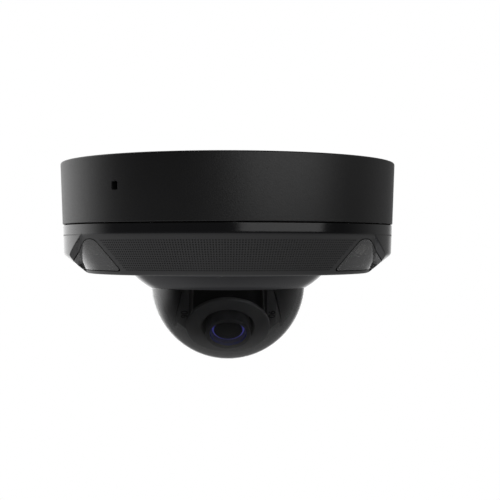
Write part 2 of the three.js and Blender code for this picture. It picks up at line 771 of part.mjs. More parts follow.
function panParts() {
  const { radius, bore, hub, retainer, retainerThick } = turntable;
  const hubTop = bracketTop + 2 * GAP + retainerThick;
  const right = yokeArm();
  const yoke = join(
    ring(bore, radius, turntableFoot, turntableTop),
    ring(bore, hub, turntableTop - SUNK, hubTop),
    right,
    mirrored(right),
  );
  const clip = ring(hub + GAP, hub + GAP + retainer, bracketTop + GAP, bracketTop + GAP + retainerThick);
  const { radius: outer, thick, inner, leanFrom, lean } = liner;
  const top = turntableFoot - GAP;
  const shellShape = turned(
    [
      ...arc(outer, domeCentre, -90, 0, ARC),
      [outer, top],
      [outer - thick, top],
      ...arc(outer - thick, domeCentre, 0, -90, ARC),
    ],
  );
  const edge = new THREE.Vector3(inner, 0, domeCentre - leanFrom);
  const cheek = common(
    shellShape,
    halfSpace(new THREE.Vector3(1, 0, 0), edge),
    halfSpace(new THREE.Vector3(1, 0, lean).normalize(), edge),
  );
  return [
    piece("pan_yoke", yoke, "darkPlastic"),
    piece("pan_retainer", clip, "steel"),
    piece("liner_right", cheek, "darkPlastic"),
    piece("liner_left", mirrored(cheek), "darkPlastic"),
  ];
}

// ---------------------------------------------------------------- gimbal: tilt and lens

function pivotScrews() {
  const seat = armOuter + GAP;
  const shank = sideways(pivotScrew.radius, shell.radius - pivotScrew.engage, seat + SUNK);
  const driver = sideways(
    pivotScrew.head * pivotScrew.driver,
    seat + pivotScrew.headTall * pivotScrew.driver,
    seat + pivotScrew.headTall + PAST,
    6,
  );
  const screwShape = cut(join(shank, sideways(pivotScrew.head, seat, seat + pivotScrew.headTall)), driver);
  return [
    piece("tilt_pivot_right", screwShape, "blackSteel"),
    piece("tilt_pivot_left", mirrored(screwShape), "blackSteel"),
  ];
}

/** The can that the lens turns in, drawn along the lens axis with +Z forwards. */
function moduleShell() {
  const { radius, wall, back, front, floor, slot } = shell;
  const can = turned(
    [
      [0, -back],
      [radius, -back],
      [radius, front],
      [radius - wall, front],
      [radius - wall, floor - back],
      [0, floor - back],
    ],
    TURNED,
  );
  const pivotHole = new THREE.CylinderGeometry(pivotScrew.radius + GAP, pivotScrew.radius + GAP, 60, SMALL);
  const cableSlot = block([-slot / 2, -1.5, -back - 1], [slot / 2, 1.5, floor - back + 1]);
  return piece("module_shell", cut(can, pivotHole.rotateZ(Math.PI / 2), cableSlot), "darkPlastic");
}

function lensParts() {
  const faceBack = shell.front + RUN;
  const faceFront = faceBack + bezel.thick;
  const sleeveOuter = bezel.opening + bezel.sleeveWall;
  const face = turned(
    [
      [bezel.opening, bezel.sleeveBack],
      [sleeveOuter, bezel.sleeveBack],
      [sleeveOuter, faceBack],
      [bezel.radius, faceBack],
      [bezel.radius, faceFront],
      [bezel.opening, faceFront],
    ],
    TURNED,
  );
  const boardFront = sensorBoard.front;
  const sensorFoot = boardFront + GAP;
  const thread = barrel.thread + GAP;
  const mount = ring(thread, holder.radius, boardFront + holder.back, holder.front, TURNED);
  const tube = turned(
    [
      [barrel.bore, barrel.back],
      [barrel.thread, barrel.back],
      [barrel.thread, barrel.headBack],
      [barrel.head, barrel.headBack],
      [barrel.head, barrel.front],
      [barrel.mouth, barrel.front],
      [lensGlass.radius + GAP, lensGlass.back - GAP],
      [barrel.bore, lensGlass.back - GAP],
    ],
    TURNED,
  );
  const glassEdge = lensGlass.back + lensGlass.edge;
  const glass = turned(
    [
      [0, lensGlass.back],
      [lensGlass.radius, lensGlass.back],
      [lensGlass.radius, glassEdge],
      [lensGlass.radius * 0.85, glassEdge + lensGlass.bulge * 0.35],
      [lensGlass.radius * 0.5, glassEdge + lensGlass.bulge * 0.78],
      [0, glassEdge + lensGlass.bulge],
    ],
    TURNED,
  );
  const square = (size, low, high) => blockAt([0, 0], size, size, low, high);
  return [
    piece("lens_face", face, "darkPlastic"),
    piece("lens_holder", mount, "darkPlastic"),
    piece("lens_barrel", tube, "blackSteel"),
    piece("front_lens", glass, "lensGlass"),
    piece("sensor_board", square(sensorBoard.size, boardFront - sensorBoard.thick, boardFront), "circuit"),
    piece("image_sensor", square(sensor.size, sensorFoot, sensorFoot + sensor.thick), "chip"),
  ];
}

// ---------------------------------------------------------------- assembly

const camera = new THREE.Group();

const fixed = [
  baseHousing(),
  ceilingGasket(),
  cableGrommet(),
  mainBoard(),
  ...boardParts(),
  ...cardReader(),
  ...resetParts(),
  ...microphoneParts(),
  ...places(boardPost).map((at, i) => screwDown(`board_screw_${i + 1}`, at, boardFoot, boardScrew)),
  ...gimbalSupport(),
  ...lampParts(),
];

const coverPieces = [
  frontCover(),
  coverGasket(),
  ...coverScrews(),
  ...lampWindows(),
  domeTrim(),
  domeSeal(),
  clearDome(),
  ...domeClampParts(),
];

const lensModule = new THREE.Group();
lensModule.position.z = domeCentre;
lensModule.rotation.x = degrees(90 + lensTilt);
lensModule.add(moduleShell(), ...lensParts());

camera.add(...fixed, ...coverPieces, ...panParts(), ...pivotScrews(), lensModule);

export default camera;
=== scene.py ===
"""A ceiling dome camera: the visible surfaces, finishes, lights and view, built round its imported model."""
import math

import bmesh
import bpy
import numpy
from bpy.props import FloatProperty, FloatVectorProperty, IntProperty, PointerProperty
from bpy.types import Operator, Panel, PropertyGroup
from mathutils import Matrix, Vector


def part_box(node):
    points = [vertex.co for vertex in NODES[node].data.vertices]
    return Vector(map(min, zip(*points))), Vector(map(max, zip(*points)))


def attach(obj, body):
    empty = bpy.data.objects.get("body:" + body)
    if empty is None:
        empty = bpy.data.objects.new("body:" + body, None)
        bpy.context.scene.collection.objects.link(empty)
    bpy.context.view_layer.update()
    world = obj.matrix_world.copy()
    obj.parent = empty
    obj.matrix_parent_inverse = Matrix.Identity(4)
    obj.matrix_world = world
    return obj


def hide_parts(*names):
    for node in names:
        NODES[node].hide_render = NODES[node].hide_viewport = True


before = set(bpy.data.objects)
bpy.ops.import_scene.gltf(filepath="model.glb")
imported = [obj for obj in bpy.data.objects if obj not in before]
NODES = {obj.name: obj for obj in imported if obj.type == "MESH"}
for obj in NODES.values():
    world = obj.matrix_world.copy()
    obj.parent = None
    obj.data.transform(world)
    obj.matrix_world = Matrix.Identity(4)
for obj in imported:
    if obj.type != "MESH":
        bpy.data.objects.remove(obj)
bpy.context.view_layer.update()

bl_info = {
    "name": "Dome camera",
    "version": (1, 0, 0),
    "blender": (4, 5, 0),
    "location": "View3D > Sidebar > Dome camera",
    "description": "Builds the surfaces, finishes and studio of a ceiling dome camera",
    "category": "Object",
}

MM = 0.001


# ---------------------------------------------------------------- places read from the frame

def low(node):
    """The lowest height of a node."""
    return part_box(node)[0].z


def high(node):
    """The highest height of a node."""
    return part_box(node)[1].z


def reach(node):
    """The radius of a node that is centred on the camera's axis."""
    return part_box(node)[1].x


def middle(node):
    """The middle of a node's box."""
    lowest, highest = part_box(node)
    return (lowest + highest) / 2


DOME_RADIUS = 25.5 * MM
DOME_CENTRE = Vector((0, 0, low("clear_dome") + DOME_RADIUS))
SEAM = low("base_housing")
COVER_TOP = high("front_cover")
COVER_FOOT = low("front_cover")
LENS_TILT = math.radians(45)
LENS_TURN = Matrix.Translation(DOME_CENTRE) @ Matrix.Rotation(math.pi / 2 + LENS_TILT, 4, "X")


# ---------------------------------------------------------------- settings

def length(name, description, millimetres):
    """A size in metres with its default given in millimetres."""
    return FloatProperty(
        name=name, description=description, default=millimetres * MM, min=0, unit="LENGTH", precision=5
    )


def colour(name, description, value):
    """A colour of a finish."""
    return FloatVectorProperty(
        name=name, description=description, default=value, size=3, min=0, max=1, subtype="COLOR"
    )


class DomeCameraHousing(PropertyGroup):
    """Sizes of the base housing."""

    rim_round: length("Rim rounding", "Radius of the edge at the ceiling", 0.7)
    foot_round: length("Foot rounding", "Radius of the edge at the seam", 0.25)
    foot_radius: length("Foot radius", "Radius of the drafted wall at the seam", 54.3)
    wall: length("Wall", "Thickness of the wall at the ceiling", 3.4)
    lip: length("Lip", "Width of the face that meets the cover", 5.0)
    plate: length("Plate", "Thickness of the ceiling plate", 3.0)


class DomeCameraCover(PropertyGroup):
    """Sizes of the cover, its recess, its dots and its windows."""

    top_radius: length("Top radius", "Radius of the cover at the seam", 54.15)
    shoulder_radius: length("Shoulder radius", "Radius where the wall meets the chamfer", 53.85)
    shoulder: length("Shoulder height", "Distance of the shoulder below the ceiling", 29.6)
    foot_radius: length("Foot radius", "Radius of the flat foot", 46.4)
    edge_round: length("Edge rounding", "Softness of the outer edges", 0.55)
    recess_top: length("Recess top", "Distance of the recess edge below the ceiling", 23.25)
    recess_top_radius: length("Recess top radius", "Radius of the recess surface at its top", 54.1)
    recess_foot_radius: length("Recess foot radius", "Radius of the recess surface at the foot", 46.35)
    recess_round: length("Recess rounding", "Softness of the recess edges", 0.3)
    window_gap: length("Window gap", "Dark line round a lamp window", 0.24)
    dot_pitch: length("Dot pitch", "Distance between neighbouring dots", 0.8)
    dot_radius: length("Dot radius", "Radius of one dot", 0.26)
    dot_height: length("Dot height", "How far a dot stands out", 0.13)
    dot_rows: IntProperty(name="Dot rows", description="Rows of dots on the recess", default=14, min=1)


class DomeCameraDome(PropertyGroup):
    """Sizes of the dome, its ring and the liner cheeks."""

    wall: length("Dome wall", "Thickness of the clear dome", 1.6)
    ring_bulge: length("Ring bulge", "How far the ring's flare bulges", 0.7)
    liner_thick: length("Liner thickness", "Thickness of a liner cheek", 1.2)


class DomeCameraLens(PropertyGroup):
    """Sizes of the lens face and the lens."""

    face_round: length("Face rounding", "Radius of the lens face's outer edge", 0.5)
    rings: IntProperty(name="Baffle rings", description="Fine rings inside the lens front", default=5, min=1)
    mark_height: length("Mark height", "Height of the figures of the tilt scale", 2.0)


class DomeCameraColours(PropertyGroup):
    """Colours of the finishes."""

    coat: colour("Powder coat", "Base housing", (0.016, 0.016, 0.0165))
    gloss: colour("Gloss black", "Cover and dome ring", (0.012, 0.012, 0.013))
    matt: colour("Matt black", "Lens module and inner mouldings", (0.022, 0.022, 0.023))
    yoke: colour("Yoke", "Arms and turntable", (0.12, 0.12, 0.121))
    liner: colour("Liner", "Cheeks beside the yoke", (0.07, 0.07, 0.071))
    face: colour("Lens face", "Disc round the lens", (0.20, 0.20, 0.203))
    dot: colour("Dots", "Dots on the recess", (0.009, 0.009, 0.009))
    facet: colour("Facet", "Sunk front facet of the cover", (0.026, 0.026, 0.0265))
    window: colour("Lamp window", "Grey clear plastic", (0.72, 0.72, 0.73))
    mask: colour("Solder mask", "Circuit boards", (0.012, 0.085, 0.035))
    # painted reflection: this colour paints the coating's reflection as a ring on the lens glass
    coating: colour("Lens coating", "Reflection of the coated glass", (0.2, 0.19, 1.0))


class DomeCameraStage(PropertyGroup):
    """Sizes of the studio and the view."""

    distance: length("Camera distance", "From the lens to the camera's axis", 337.8)
    eye: length("Eye level", "Distance of the lens below the ceiling face", 26.85)
    yaw: FloatProperty(name="Yaw", description="Turn of the view", default=math.radians(-1.24), subtype="ANGLE")
    pitch: FloatProperty(
        name="Pitch", description="Lift of the view", default=math.radians(-0.23), subtype="ANGLE"
    )
    focal: FloatProperty(name="Focal length", description="Of the lens, in millimetres", default=72.84)
    floor: length("Floor", "Distance of the floor below the ceiling face", 1600)


def settings(group):
    """The settings of one group of the scene."""
    return getattr(bpy.context.scene, "dome_camera_" + group)


# ---------------------------------------------------------------- finishes

def new_material(name):
    """An empty node material with its shader and its object coordinates."""
    material = bpy.data.materials.new(name)
    material.use_nodes = True
    tree = material.node_tree
    shader = tree.nodes["Principled BSDF"]
    place = tree.nodes.new("ShaderNodeTexCoord")
    return material, tree, shader, place.outputs["Object"]


def noise(tree, coordinates, scale, detail=3.0, stretch=None):
    """A noise value over the object, stretched along an axis where a finish is brushed."""
    if stretch:
        mapping = tree.nodes.new("ShaderNodeMapping")
        mapping.inputs["Scale"].default_value = stretch
        tree.links.new(coordinates, mapping.inputs["Vector"])
        coordinates = mapping.outputs["Vector"]
    node = tree.nodes.new("ShaderNodeTexNoise")
    node.inputs["Scale"].default_value = scale
    node.inputs["Detail"].default_value = detail
    tree.links.new(coordinates, node.inputs["Vector"])
    return node.outputs["Fac"]


def spread(tree, value, lowest, highest):
    """A value mapped onto a range."""
    node = tree.nodes.new("ShaderNodeMapRange")
    node.inputs["From Min"].default_value = 0.3
    node.inputs["From Max"].default_value = 0.7
    node.inputs["To Min"].default_value = lowest
    node.inputs["To Max"].default_value = highest
    tree.links.new(value, node.inputs["Value"])
    return node.outputs["Result"]


def shaded(tree, value, tint, amount):
    """A colour that is a little darker and a little lighter over the surface."""
    ramp = tree.nodes.new("ShaderNodeValToRGB")
    for element, factor in zip(ramp.color_ramp.elements, (1 - amount, 1 + amount)):
        element.color = [min(channel * factor, 1) for channel in tint] + [1]
    ramp.color_ramp.elements[0].position = 0.35
    ramp.color_ramp.elements[1].position = 0.65
    tree.links.new(value, ramp.inputs["Fac"])
    return ramp.outputs["Color"]


def worked_out(tree, operation, first, second):
    """A value made of two others, each a socket or a number."""
    node = tree.nodes.new("ShaderNodeMath")
    node.operation = operation
    for entry, value in zip(node.inputs, (first, second)):
        if isinstance(value, (int, float)):
            entry.default_value = value
        else:
            tree.links.new(value, entry)
    return node.outputs["Value"]


def up_to(tree, value, start, end):
    """One up to a start, falling to nothing at an end."""
    node = tree.nodes.new("ShaderNodeMapRange")
    for key, level in zip(("From Min", "From Max", "To Min", "To Max"), (start, end, 1, 0)):
        node.inputs[key].default_value = level
    tree.links.new(value, node.inputs["Value"])
    return node.outputs["Result"]


def from_axis(tree, place):
    """The distance of a place from its Z axis."""
    flat = tree.nodes.new("ShaderNodeVectorMath")
    flat.operation = "MULTIPLY"
    flat.inputs[1].default_value = (1, 1, 0)
    tree.links.new(place, flat.inputs[0])
    away = tree.nodes.new("ShaderNodeVectorMath")
    away.operation = "LENGTH"
    tree.links.new(flat.outputs["Vector"], away.inputs[0])
    return away.outputs["Value"]


def bumped(tree, shader, value, depth, strength=1.0):
    """Relief of a given depth from a value."""
    node = tree.nodes.new("ShaderNodeBump")
    node.inputs["Distance"].default_value = depth
    node.inputs["Strength"].default_value = strength
    tree.links.new(value, node.inputs["Height"])
    tree.links.new(node.outputs["Normal"], shader.inputs["Normal"])


def finish(name, tint, roughness, grain, depth, metallic=0.0, vary=0.1, blotch=60.0, stretch=None, specular=0.5):
    """An opaque finish with its own grain, and roughness and colour that vary over the surface."""
    if name in bpy.data.materials:
        return bpy.data.materials[name]
    material, tree, shader, place = new_material(name)
    fine = noise(tree, place, grain, 2.0, stretch)
    broad = noise(tree, place, blotch)
    tree.links.new(shaded(tree, broad, tint, vary), shader.inputs["Base Color"])
    tree.links.new(spread(tree, fine, roughness * 0.88, roughness * 1.12), shader.inputs["Roughness"])
    shader.inputs["Metallic"].default_value = metallic
    shader.inputs["Specular IOR Level"].default_value = specular
    bumped(tree, shader, fine, depth)
    return material


def clear_finish(name, tint, roughness, ior, transmission=1.0, density=0.0):
    """A see-through finish whose polish varies slightly."""
    if name in bpy.data.materials:
        return bpy.data.materials[name]
    material, tree, shader, place = new_material(name)
    shader.inputs["Transmission Weight"].default_value = transmission
    shader.inputs["IOR"].default_value = ior
    broad = noise(tree, place, 70.0)
    tree.links.new(shaded(tree, broad, tint, 0.015), shader.inputs["Base Color"])
    tree.links.new(spread(tree, broad, roughness * 0.9, roughness * 1.1), shader.inputs["Roughness"])
    if density:
        inner = tree.nodes.new("ShaderNodeVolumeAbsorption")
        inner.inputs["Color"].default_value = (0.5, 0.5, 0.51, 1)
        inner.inputs["Density"].default_value = density
        tree.links.new(inner.outputs["Volume"], tree.nodes["Material Output"].inputs["Volume"])
    return material


def circuit_finish(tint):
    """Solder mask with faint copper tracks under it."""
    name = "solder_mask"
    if name in bpy.data.materials:
        return bpy.data.materials[name]
    material, tree, shader, place = new_material(name)
    tracks = tree.nodes.new("ShaderNodeTexBrick")
    tracks.inputs["Scale"].default_value = 300.0
    tracks.inputs["Mortar Size"].default_value = 0.035
    tracks.inputs["Color1"].default_value = (*tint, 1)
    tracks.inputs["Color2"].default_value = (tint[0] * 0.7, tint[1] * 0.75, tint[2] * 0.8, 1)
    tracks.inputs["Mortar"].default_value = (tint[0] * 2.5, tint[1] * 1.9, tint[2] * 1.6, 1)
    tree.links.new(place, tracks.inputs["Vector"])
    tree.links.new(tracks.outputs["Color"], shader.inputs["Base Color"])
    tree.links.new(spread(tree, noise(tree, place, 900.0), 0.28, 0.42), shader.inputs["Roughness"])
    bumped(tree, shader, tracks.outputs["Fac"], 0.02 * MM)
    return material


# The coloured ring on the lens glass is a painted reflection of the coating, in its base colour and in a faint
# glow.
COATING_EDGE = 5.2 * MM  # the coloured ring lies between two shares of this distance from the lens axis
RING_START = 0.84
RING_FULL = 0.9
PAINTED_REFLECTION_GLOW = 0.16  # the ring's faint glow, which stands in for the coating's reflection


def coated_glass(tint):
    """Dark lens glass with a coloured ring at its edge, from the distance to the lens axis; the ring and its glow
    are a painted reflection of the coating.
    """
    name = "coated_glass"
    if name in bpy.data.materials:
        return bpy.data.materials[name]
    material, tree, shader, place = new_material(name)
    centred = tree.nodes.new("ShaderNodeMapping")
    centred.vector_type = "POINT"
    undo = LENS_TURN.inverted()
    centred.inputs["Location"].default_value = undo.to_translation()
    centred.inputs["Rotation"].default_value = undo.to_euler()
    tree.links.new(place, centred.inputs["Vector"])
    share = tree.nodes.new("ShaderNodeMapRange")
    share.inputs["From Max"].default_value = COATING_EDGE
    tree.links.new(from_axis(tree, centred.outputs["Vector"]), share.inputs["Value"])
    # painted reflection: the base colour carries the coating's coloured ring
    ramp = tree.nodes.new("ShaderNodeValToRGB")
    stops = ramp.color_ramp.elements
    stops[0].position, stops[0].color = 0.0, (0.014, 0.014, 0.013, 1)
    stops[1].position, stops[1].color = 1.0, (*[channel * 0.7 for channel in tint], 1)
    for position, colour_there in ((RING_START, (0.008, 0.008, 0.011, 1)), (RING_FULL, (*tint, 1))):
        stop = stops.new(position)
        stop.color = colour_there
    tree.links.new(share.outputs["Result"], ramp.inputs["Fac"])
    tree.links.new(ramp.outputs["Color"], shader.inputs["Base Color"])
    # painted glow: the ring glows faintly in place of the coating's reflection
    painted_glow = tree.nodes.new("ShaderNodeValToRGB")
    first, last = painted_glow.color_ramp.elements
    first.position, last.position = RING_START, RING_FULL
    last.color = (*tint, 1)
    tree.links.new(share.outputs["Result"], painted_glow.inputs["Fac"])
    tree.links.new(painted_glow.outputs["Color"], shader.inputs["Emission Color"])
    shader.inputs["Emission Strength"].default_value = PAINTED_REFLECTION_GLOW
    tree.links.new(spread(tree, noise(tree, place, 90.0), 0.03, 0.05), shader.inputs["Roughness"])
    return material


FACET_ROUGHNESS = 0.42


def cover_finish(facet):
    """Gloss black outside, and matt below the recess's edge on all that lies inside the facet's cone."""
    if "cover_black" in bpy.data.materials:
        return bpy.data.materials["cover_black"]
    material = finish("cover_black", tints().gloss, 0.16, 1500.0, 0.0012 * MM, vary=0.05)
    tree = material.node_tree
    nodes, links = tree.nodes, tree.links
    shader = next(node for node in nodes if node.type == "BSDF_PRINCIPLED")
    place = next(node for node in nodes if node.type == "TEX_COORD").outputs["Object"]
    split = nodes.new("ShaderNodeSeparateXYZ")
    links.new(place, split.inputs["Vector"])
    height = split.outputs["Z"]
    slope = (recess_radius(-30 * MM) - recess_radius(-20 * MM)) / (10 * MM)
    level = worked_out(tree, "ADD", worked_out(tree, "MULTIPLY", height, slope), from_axis(tree, place))
    inside = up_to(tree, level, recess_radius(0) + 0.06 * MM, recess_radius(0) + 0.3 * MM)
    edge = -settings("cover").recess_top
    lower = up_to(tree, height, edge - 0.1 * MM, edge + 0.1 * MM)
    sunk = worked_out(tree, "MULTIPLY", inside, lower)
    for socket, kind, there in (("Base Color", "RGBA", (*facet, 1)), ("Roughness", "FLOAT", FACET_ROUGHNESS)):
        mix = nodes.new("ShaderNodeMix")
        mix.data_type = kind
        first, second = [entry for entry in mix.inputs if entry.enabled and entry.name in "AB"]
        links.new(sunk, mix.inputs["Factor"])
        source = shader.inputs[socket].links[0].from_socket
        links.new(source, first)
        second.default_value = there
        result = next(entry for entry in mix.outputs if entry.enabled)
        links.new(result, shader.inputs[socket])
    return material


def tints():
    """The colours that a user can change."""
    return settings("colours")


FINISHES = {
    "black_coat": lambda: finish("powder_coat", tints().coat, 0.44, 2600.0, 0.03 * MM, vary=0.06, specular=0.62),
    "black_plastic": lambda: finish("gloss_black", tints().gloss, 0.16, 1500.0, 0.0012 * MM, vary=0.05),
    "cover_plastic": lambda: cover_finish(tints().facet),
    "dark_plastic": lambda: finish("matt_black", tints().matt, 0.45, 4200.0, 0.008 * MM, vary=0.08),
    "dot_plastic": lambda: finish("dot_black", tints().dot, 0.5, 3000.0, 0.002 * MM, vary=0.06),
    "yoke_plastic": lambda: finish("yoke_black", tints().yoke, 0.42, 3600.0, 0.006 * MM, vary=0.08),
    "liner_plastic": lambda: finish("liner_grey", tints().liner, 0.4, 3600.0, 0.006 * MM, vary=0.05),
    "lens_face_plastic": lambda: finish("lens_face_grey", tints().face, 0.42, 3600.0, 0.006 * MM, vary=0.06),
    "barrel_black": lambda: finish("barrel_black", (0.08, 0.08, 0.086), 0.3, 2500.0, 0.003 * MM),
    # painted reflection: the baffle rings are tinted blue in place of the coating's blue reflections
    "ring_painted_reflection": lambda: finish("baffle_blue", (0.05, 0.06, 0.34), 0.25, 2500.0, 0.002 * MM),
    "coated_glass": lambda: coated_glass(tints().coating),
    "ink_black": lambda: finish("scale_ink", (0.003, 0.003, 0.003), 0.6, 4200.0, 0.002 * MM),
    "smoked_clear": lambda: clear_finish("lamp_window_plastic", tints().window, 0.03, 1.52, 0.95),
    "clear": lambda: clear_finish("clear_polycarbonate", (0.95, 0.955, 0.96), 0.005, 1.5, density=80.0),
    "rubber": lambda: finish("black_rubber", (0.012, 0.012, 0.012), 0.8, 1800.0, 0.02 * MM),
    "circuit": lambda: circuit_finish(tints().mask),
    "chip": lambda: finish("moulded_resin", (0.018, 0.018, 0.02), 0.5, 5200.0, 0.01 * MM),
    "steel": lambda: finish(
        "stainless_steel", (0.52, 0.53, 0.54), 0.32, 900.0, 0.004 * MM, 1.0, stretch=(1, 12, 1)
    ),
    "black_steel": lambda: finish("black_oxide", (0.02, 0.02, 0.022), 0.3, 2500.0, 0.003 * MM, 0.7),
    "aluminium": lambda: finish("drawn_aluminium", (0.6, 0.61, 0.62), 0.35, 800.0, 0.003 * MM, 1.0),
    "lamp_white": lambda: finish("ivory_moulding", (0.68, 0.66, 0.58), 0.35, 2400.0, 0.004 * MM),
    "pad_grey": lambda: finish("thermal_pad_grey", (0.23, 0.25, 0.28), 0.85, 1600.0, 0.03 * MM),
}


# ---------------------------------------------------------------- mesh work

def filleted(outline, steps=4, closed=True):
    """Corner points (radius, height, rounding) with each rounded corner drawn as an arc."""
    points = []
    count = len(outline)
    for i, (radius, height, rounding) in enumerate(outline):
        corner = Vector((radius, height))
        at_end = not closed and i in (0, count - 1)
        if rounding <= 0 or at_end:
            points.append((radius, height))
            continue
        before = Vector(outline[i - 1][:2]) - corner
        after = Vector(outline[(i + 1) % count][:2]) - corner
        size = min(rounding, before.length * 0.45, after.length * 0.45)
        start = corner + before.normalized() * size
        end = corner + after.normalized() * size
        for step in range(steps + 1):
            t = step / steps
            point = start * (1 - t) ** 2 + corner * (2 * t * (1 - t)) + end * t**2
            points.append((point.x, point.y))
    return points


def mesh_object(name, bm):
    """An object at the origin made of a finished bmesh."""
    bmesh.ops.recalc_face_normals(bm, faces=bm.faces)
    mesh = bpy.data.meshes.new(name)
    bm.to_mesh(mesh)
    bm.free()
    made = bpy.data.objects.new(name, mesh)
    bpy.context.scene.collection.objects.link(made)
    return made


def rings_to_mesh(name, rings, closed):
    """A skin over rings of points, where a ring of one point is a pole."""
    bm = bmesh.new()
    made = [[bm.verts.new(point) for point in ring] for ring in rings]
    pairs = list(zip(made, made[1:]))
    if closed:
        pairs.append((made[-1], made[0]))
    sides = max(len(ring) for ring in made)
    for first, second in pairs:
        for i in range(sides):
            j = (i + 1) % sides
            corners = (
                first[i % len(first)],
                first[j % len(first)],
                second[j % len(second)],
                second[i % len(second)],
            )
            bm.faces.new(dict.fromkeys(corners))
    return mesh_object(name, bm)


def turned(name, profile, sides=192):
    """A turned piece about the camera's axis."""
    on_axis = profile[0][0] == 0 and profile[-1][0] == 0
    turns = [2 * math.pi * i / sides for i in range(sides)]
    rings = [
        [Vector((0, 0, height))]
        if radius == 0
        else [Vector((radius * math.sin(t), -radius * math.cos(t), height)) for t in turns]
        for radius, height in profile
    ]
    return rings_to_mesh(name, rings, closed=not on_axis)


def bar(radius, bottom, top, place=(0, 0), sides=48):
    """A round bar standing at a place, for joining and cutting."""
    made = turned("bar", [(0, bottom), (radius, bottom), (radius, top), (0, top)], sides)
    made.data.transform(Matrix.Translation((*place, 0)))
    return made


def on_circle(radius, azimuth):
    """The place at a radius, its azimuth in degrees counted from the front towards +X."""
    turn = math.radians(azimuth)
    return (radius * math.sin(turn), -radius * math.cos(turn))


def evaluated_mesh(made):
    """The object's mesh with its modifiers applied."""
    depsgraph = bpy.context.evaluated_depsgraph_get()
    return bpy.data.meshes.new_from_object(made.evaluated_get(depsgraph))


def settled(made):
    """Applies the modifiers of an object."""
    mesh = evaluated_mesh(made)
    made.modifiers.clear()
    made.data = mesh
    return made


def combined(made, others, operation):
    """Joins to, cuts from or keeps within an object each of the others, which are used up."""
    for other in others:
        modifier = made.modifiers.new("combine", "BOOLEAN")
        modifier.operation = operation
        modifier.solver = "MANIFOLD"
        modifier.object = other
    settled(made)
    for other in others:
        bpy.data.objects.remove(other)
    return made


def softened(made, width, segments=2, angle=40):
    """Rounds the sharp edges of a plain shape."""
    modifier = made.modifiers.new("soften", "BEVEL")
    modifier.width = width
    modifier.segments = segments
    modifier.limit_method = "ANGLE"
    modifier.angle_limit = math.radians(angle)
    return settled(made)


def extruded(name, outline, start, end, axis="Z"):
    """A flat outline pushed along an axis from one place to another."""
    bm = bmesh.new()
    bottom = [bm.verts.new((x, y, start)) for x, y in outline]
    top = [bm.verts.new((x, y, end)) for x, y in outline]
    bm.faces.new(bottom)
    bm.faces.new(reversed(top))
    for i in range(len(outline)):
        j = (i + 1) % len(outline)
        bm.faces.new((bottom[i], bottom[j], top[j], top[i]))
    made = mesh_object(name, bm)
    if axis == "Y":
        made.data.transform(Matrix.Rotation(math.pi / 2, 4, "X"))
    if axis == "X":
        made.data.transform(Matrix.Rotation(math.pi / 2, 4, "Z") @ Matrix.Rotation(math.pi / 2, 4, "X"))
    return made


def fit_out(made, body, material, nodes=(), angle=32):
    """Gives a finished piece its material, its smooth faces, its body and the nodes that it stands for."""
    made.data.materials.clear()
    made.data.materials.append(FINISHES[material]())
    for polygon in made.data.polygons:
        polygon.use_smooth = True
        polygon.material_index = 0
    made.data.set_sharp_from_angle(angle=math.radians(angle))
    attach(made, body)
    if nodes:
        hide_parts(*nodes)
    return made


# ---------------------------------------------------------------- the cover's outside

RECESS_TOP_AZIMUTH = 54.9
RECESS_FOOT_AZIMUTH = 66.5
RECESS_CREASE_AZIMUTH = 69.4
RECESS_LIMIT_AZIMUTH = 78
COVER_FLOOR = COVER_FOOT + 2.2 * MM
COVER_INNER = 51.5 * MM
RING_HOLE = 32.3 * MM
COVER_POSTS = [on_circle(40 * MM, azimuth) for azimuth in (0, 120, -120)]
CLAMP_POSTS = [on_circle(37 * MM, azimuth) for azimuth in (30, 150, -90)]
SCREW_FACE = COVER_FOOT + 3.1 * MM


def recess_slope():
    """How much the recess surface draws in for each metre down."""
    size = settings("cover")
    return (size.recess_top_radius - size.recess_foot_radius) / (-COVER_FOOT - size.recess_top)


def recess_radius(height):
    """The radius of the recess surface at a height."""
    size = settings("cover")
    return size.recess_top_radius - recess_slope() * (-height - size.recess_top)


def recess_side():
    """A point on the recess's right-hand side wall and its normal into the recess."""
    size = settings("cover")
    top = Vector((*on_circle(size.recess_top_radius, RECESS_TOP_AZIMUTH), -size.recess_top))
    foot = Vector((*on_circle(size.shoulder_radius, RECESS_FOOT_AZIMUTH), -size.shoulder))
    crease = Vector((*on_circle(recess_radius(-size.shoulder), RECESS_CREASE_AZIMUTH), -size.shoulder))
    normal = (foot - top).cross(crease - top).normalized()
    return top, normal if normal.x < 0 else -normal


def smooth_max(a, b, width):
    """The larger of two distances, blended where they are close."""
    overlap = numpy.maximum(width - abs(a - b), 0) / width
    return numpy.maximum(a, b) + overlap * overlap * width / 4


def smooth_min(a, b, width):
    """The smaller of two distances, blended where they are close."""
    return -smooth_max(-a, -b, width)


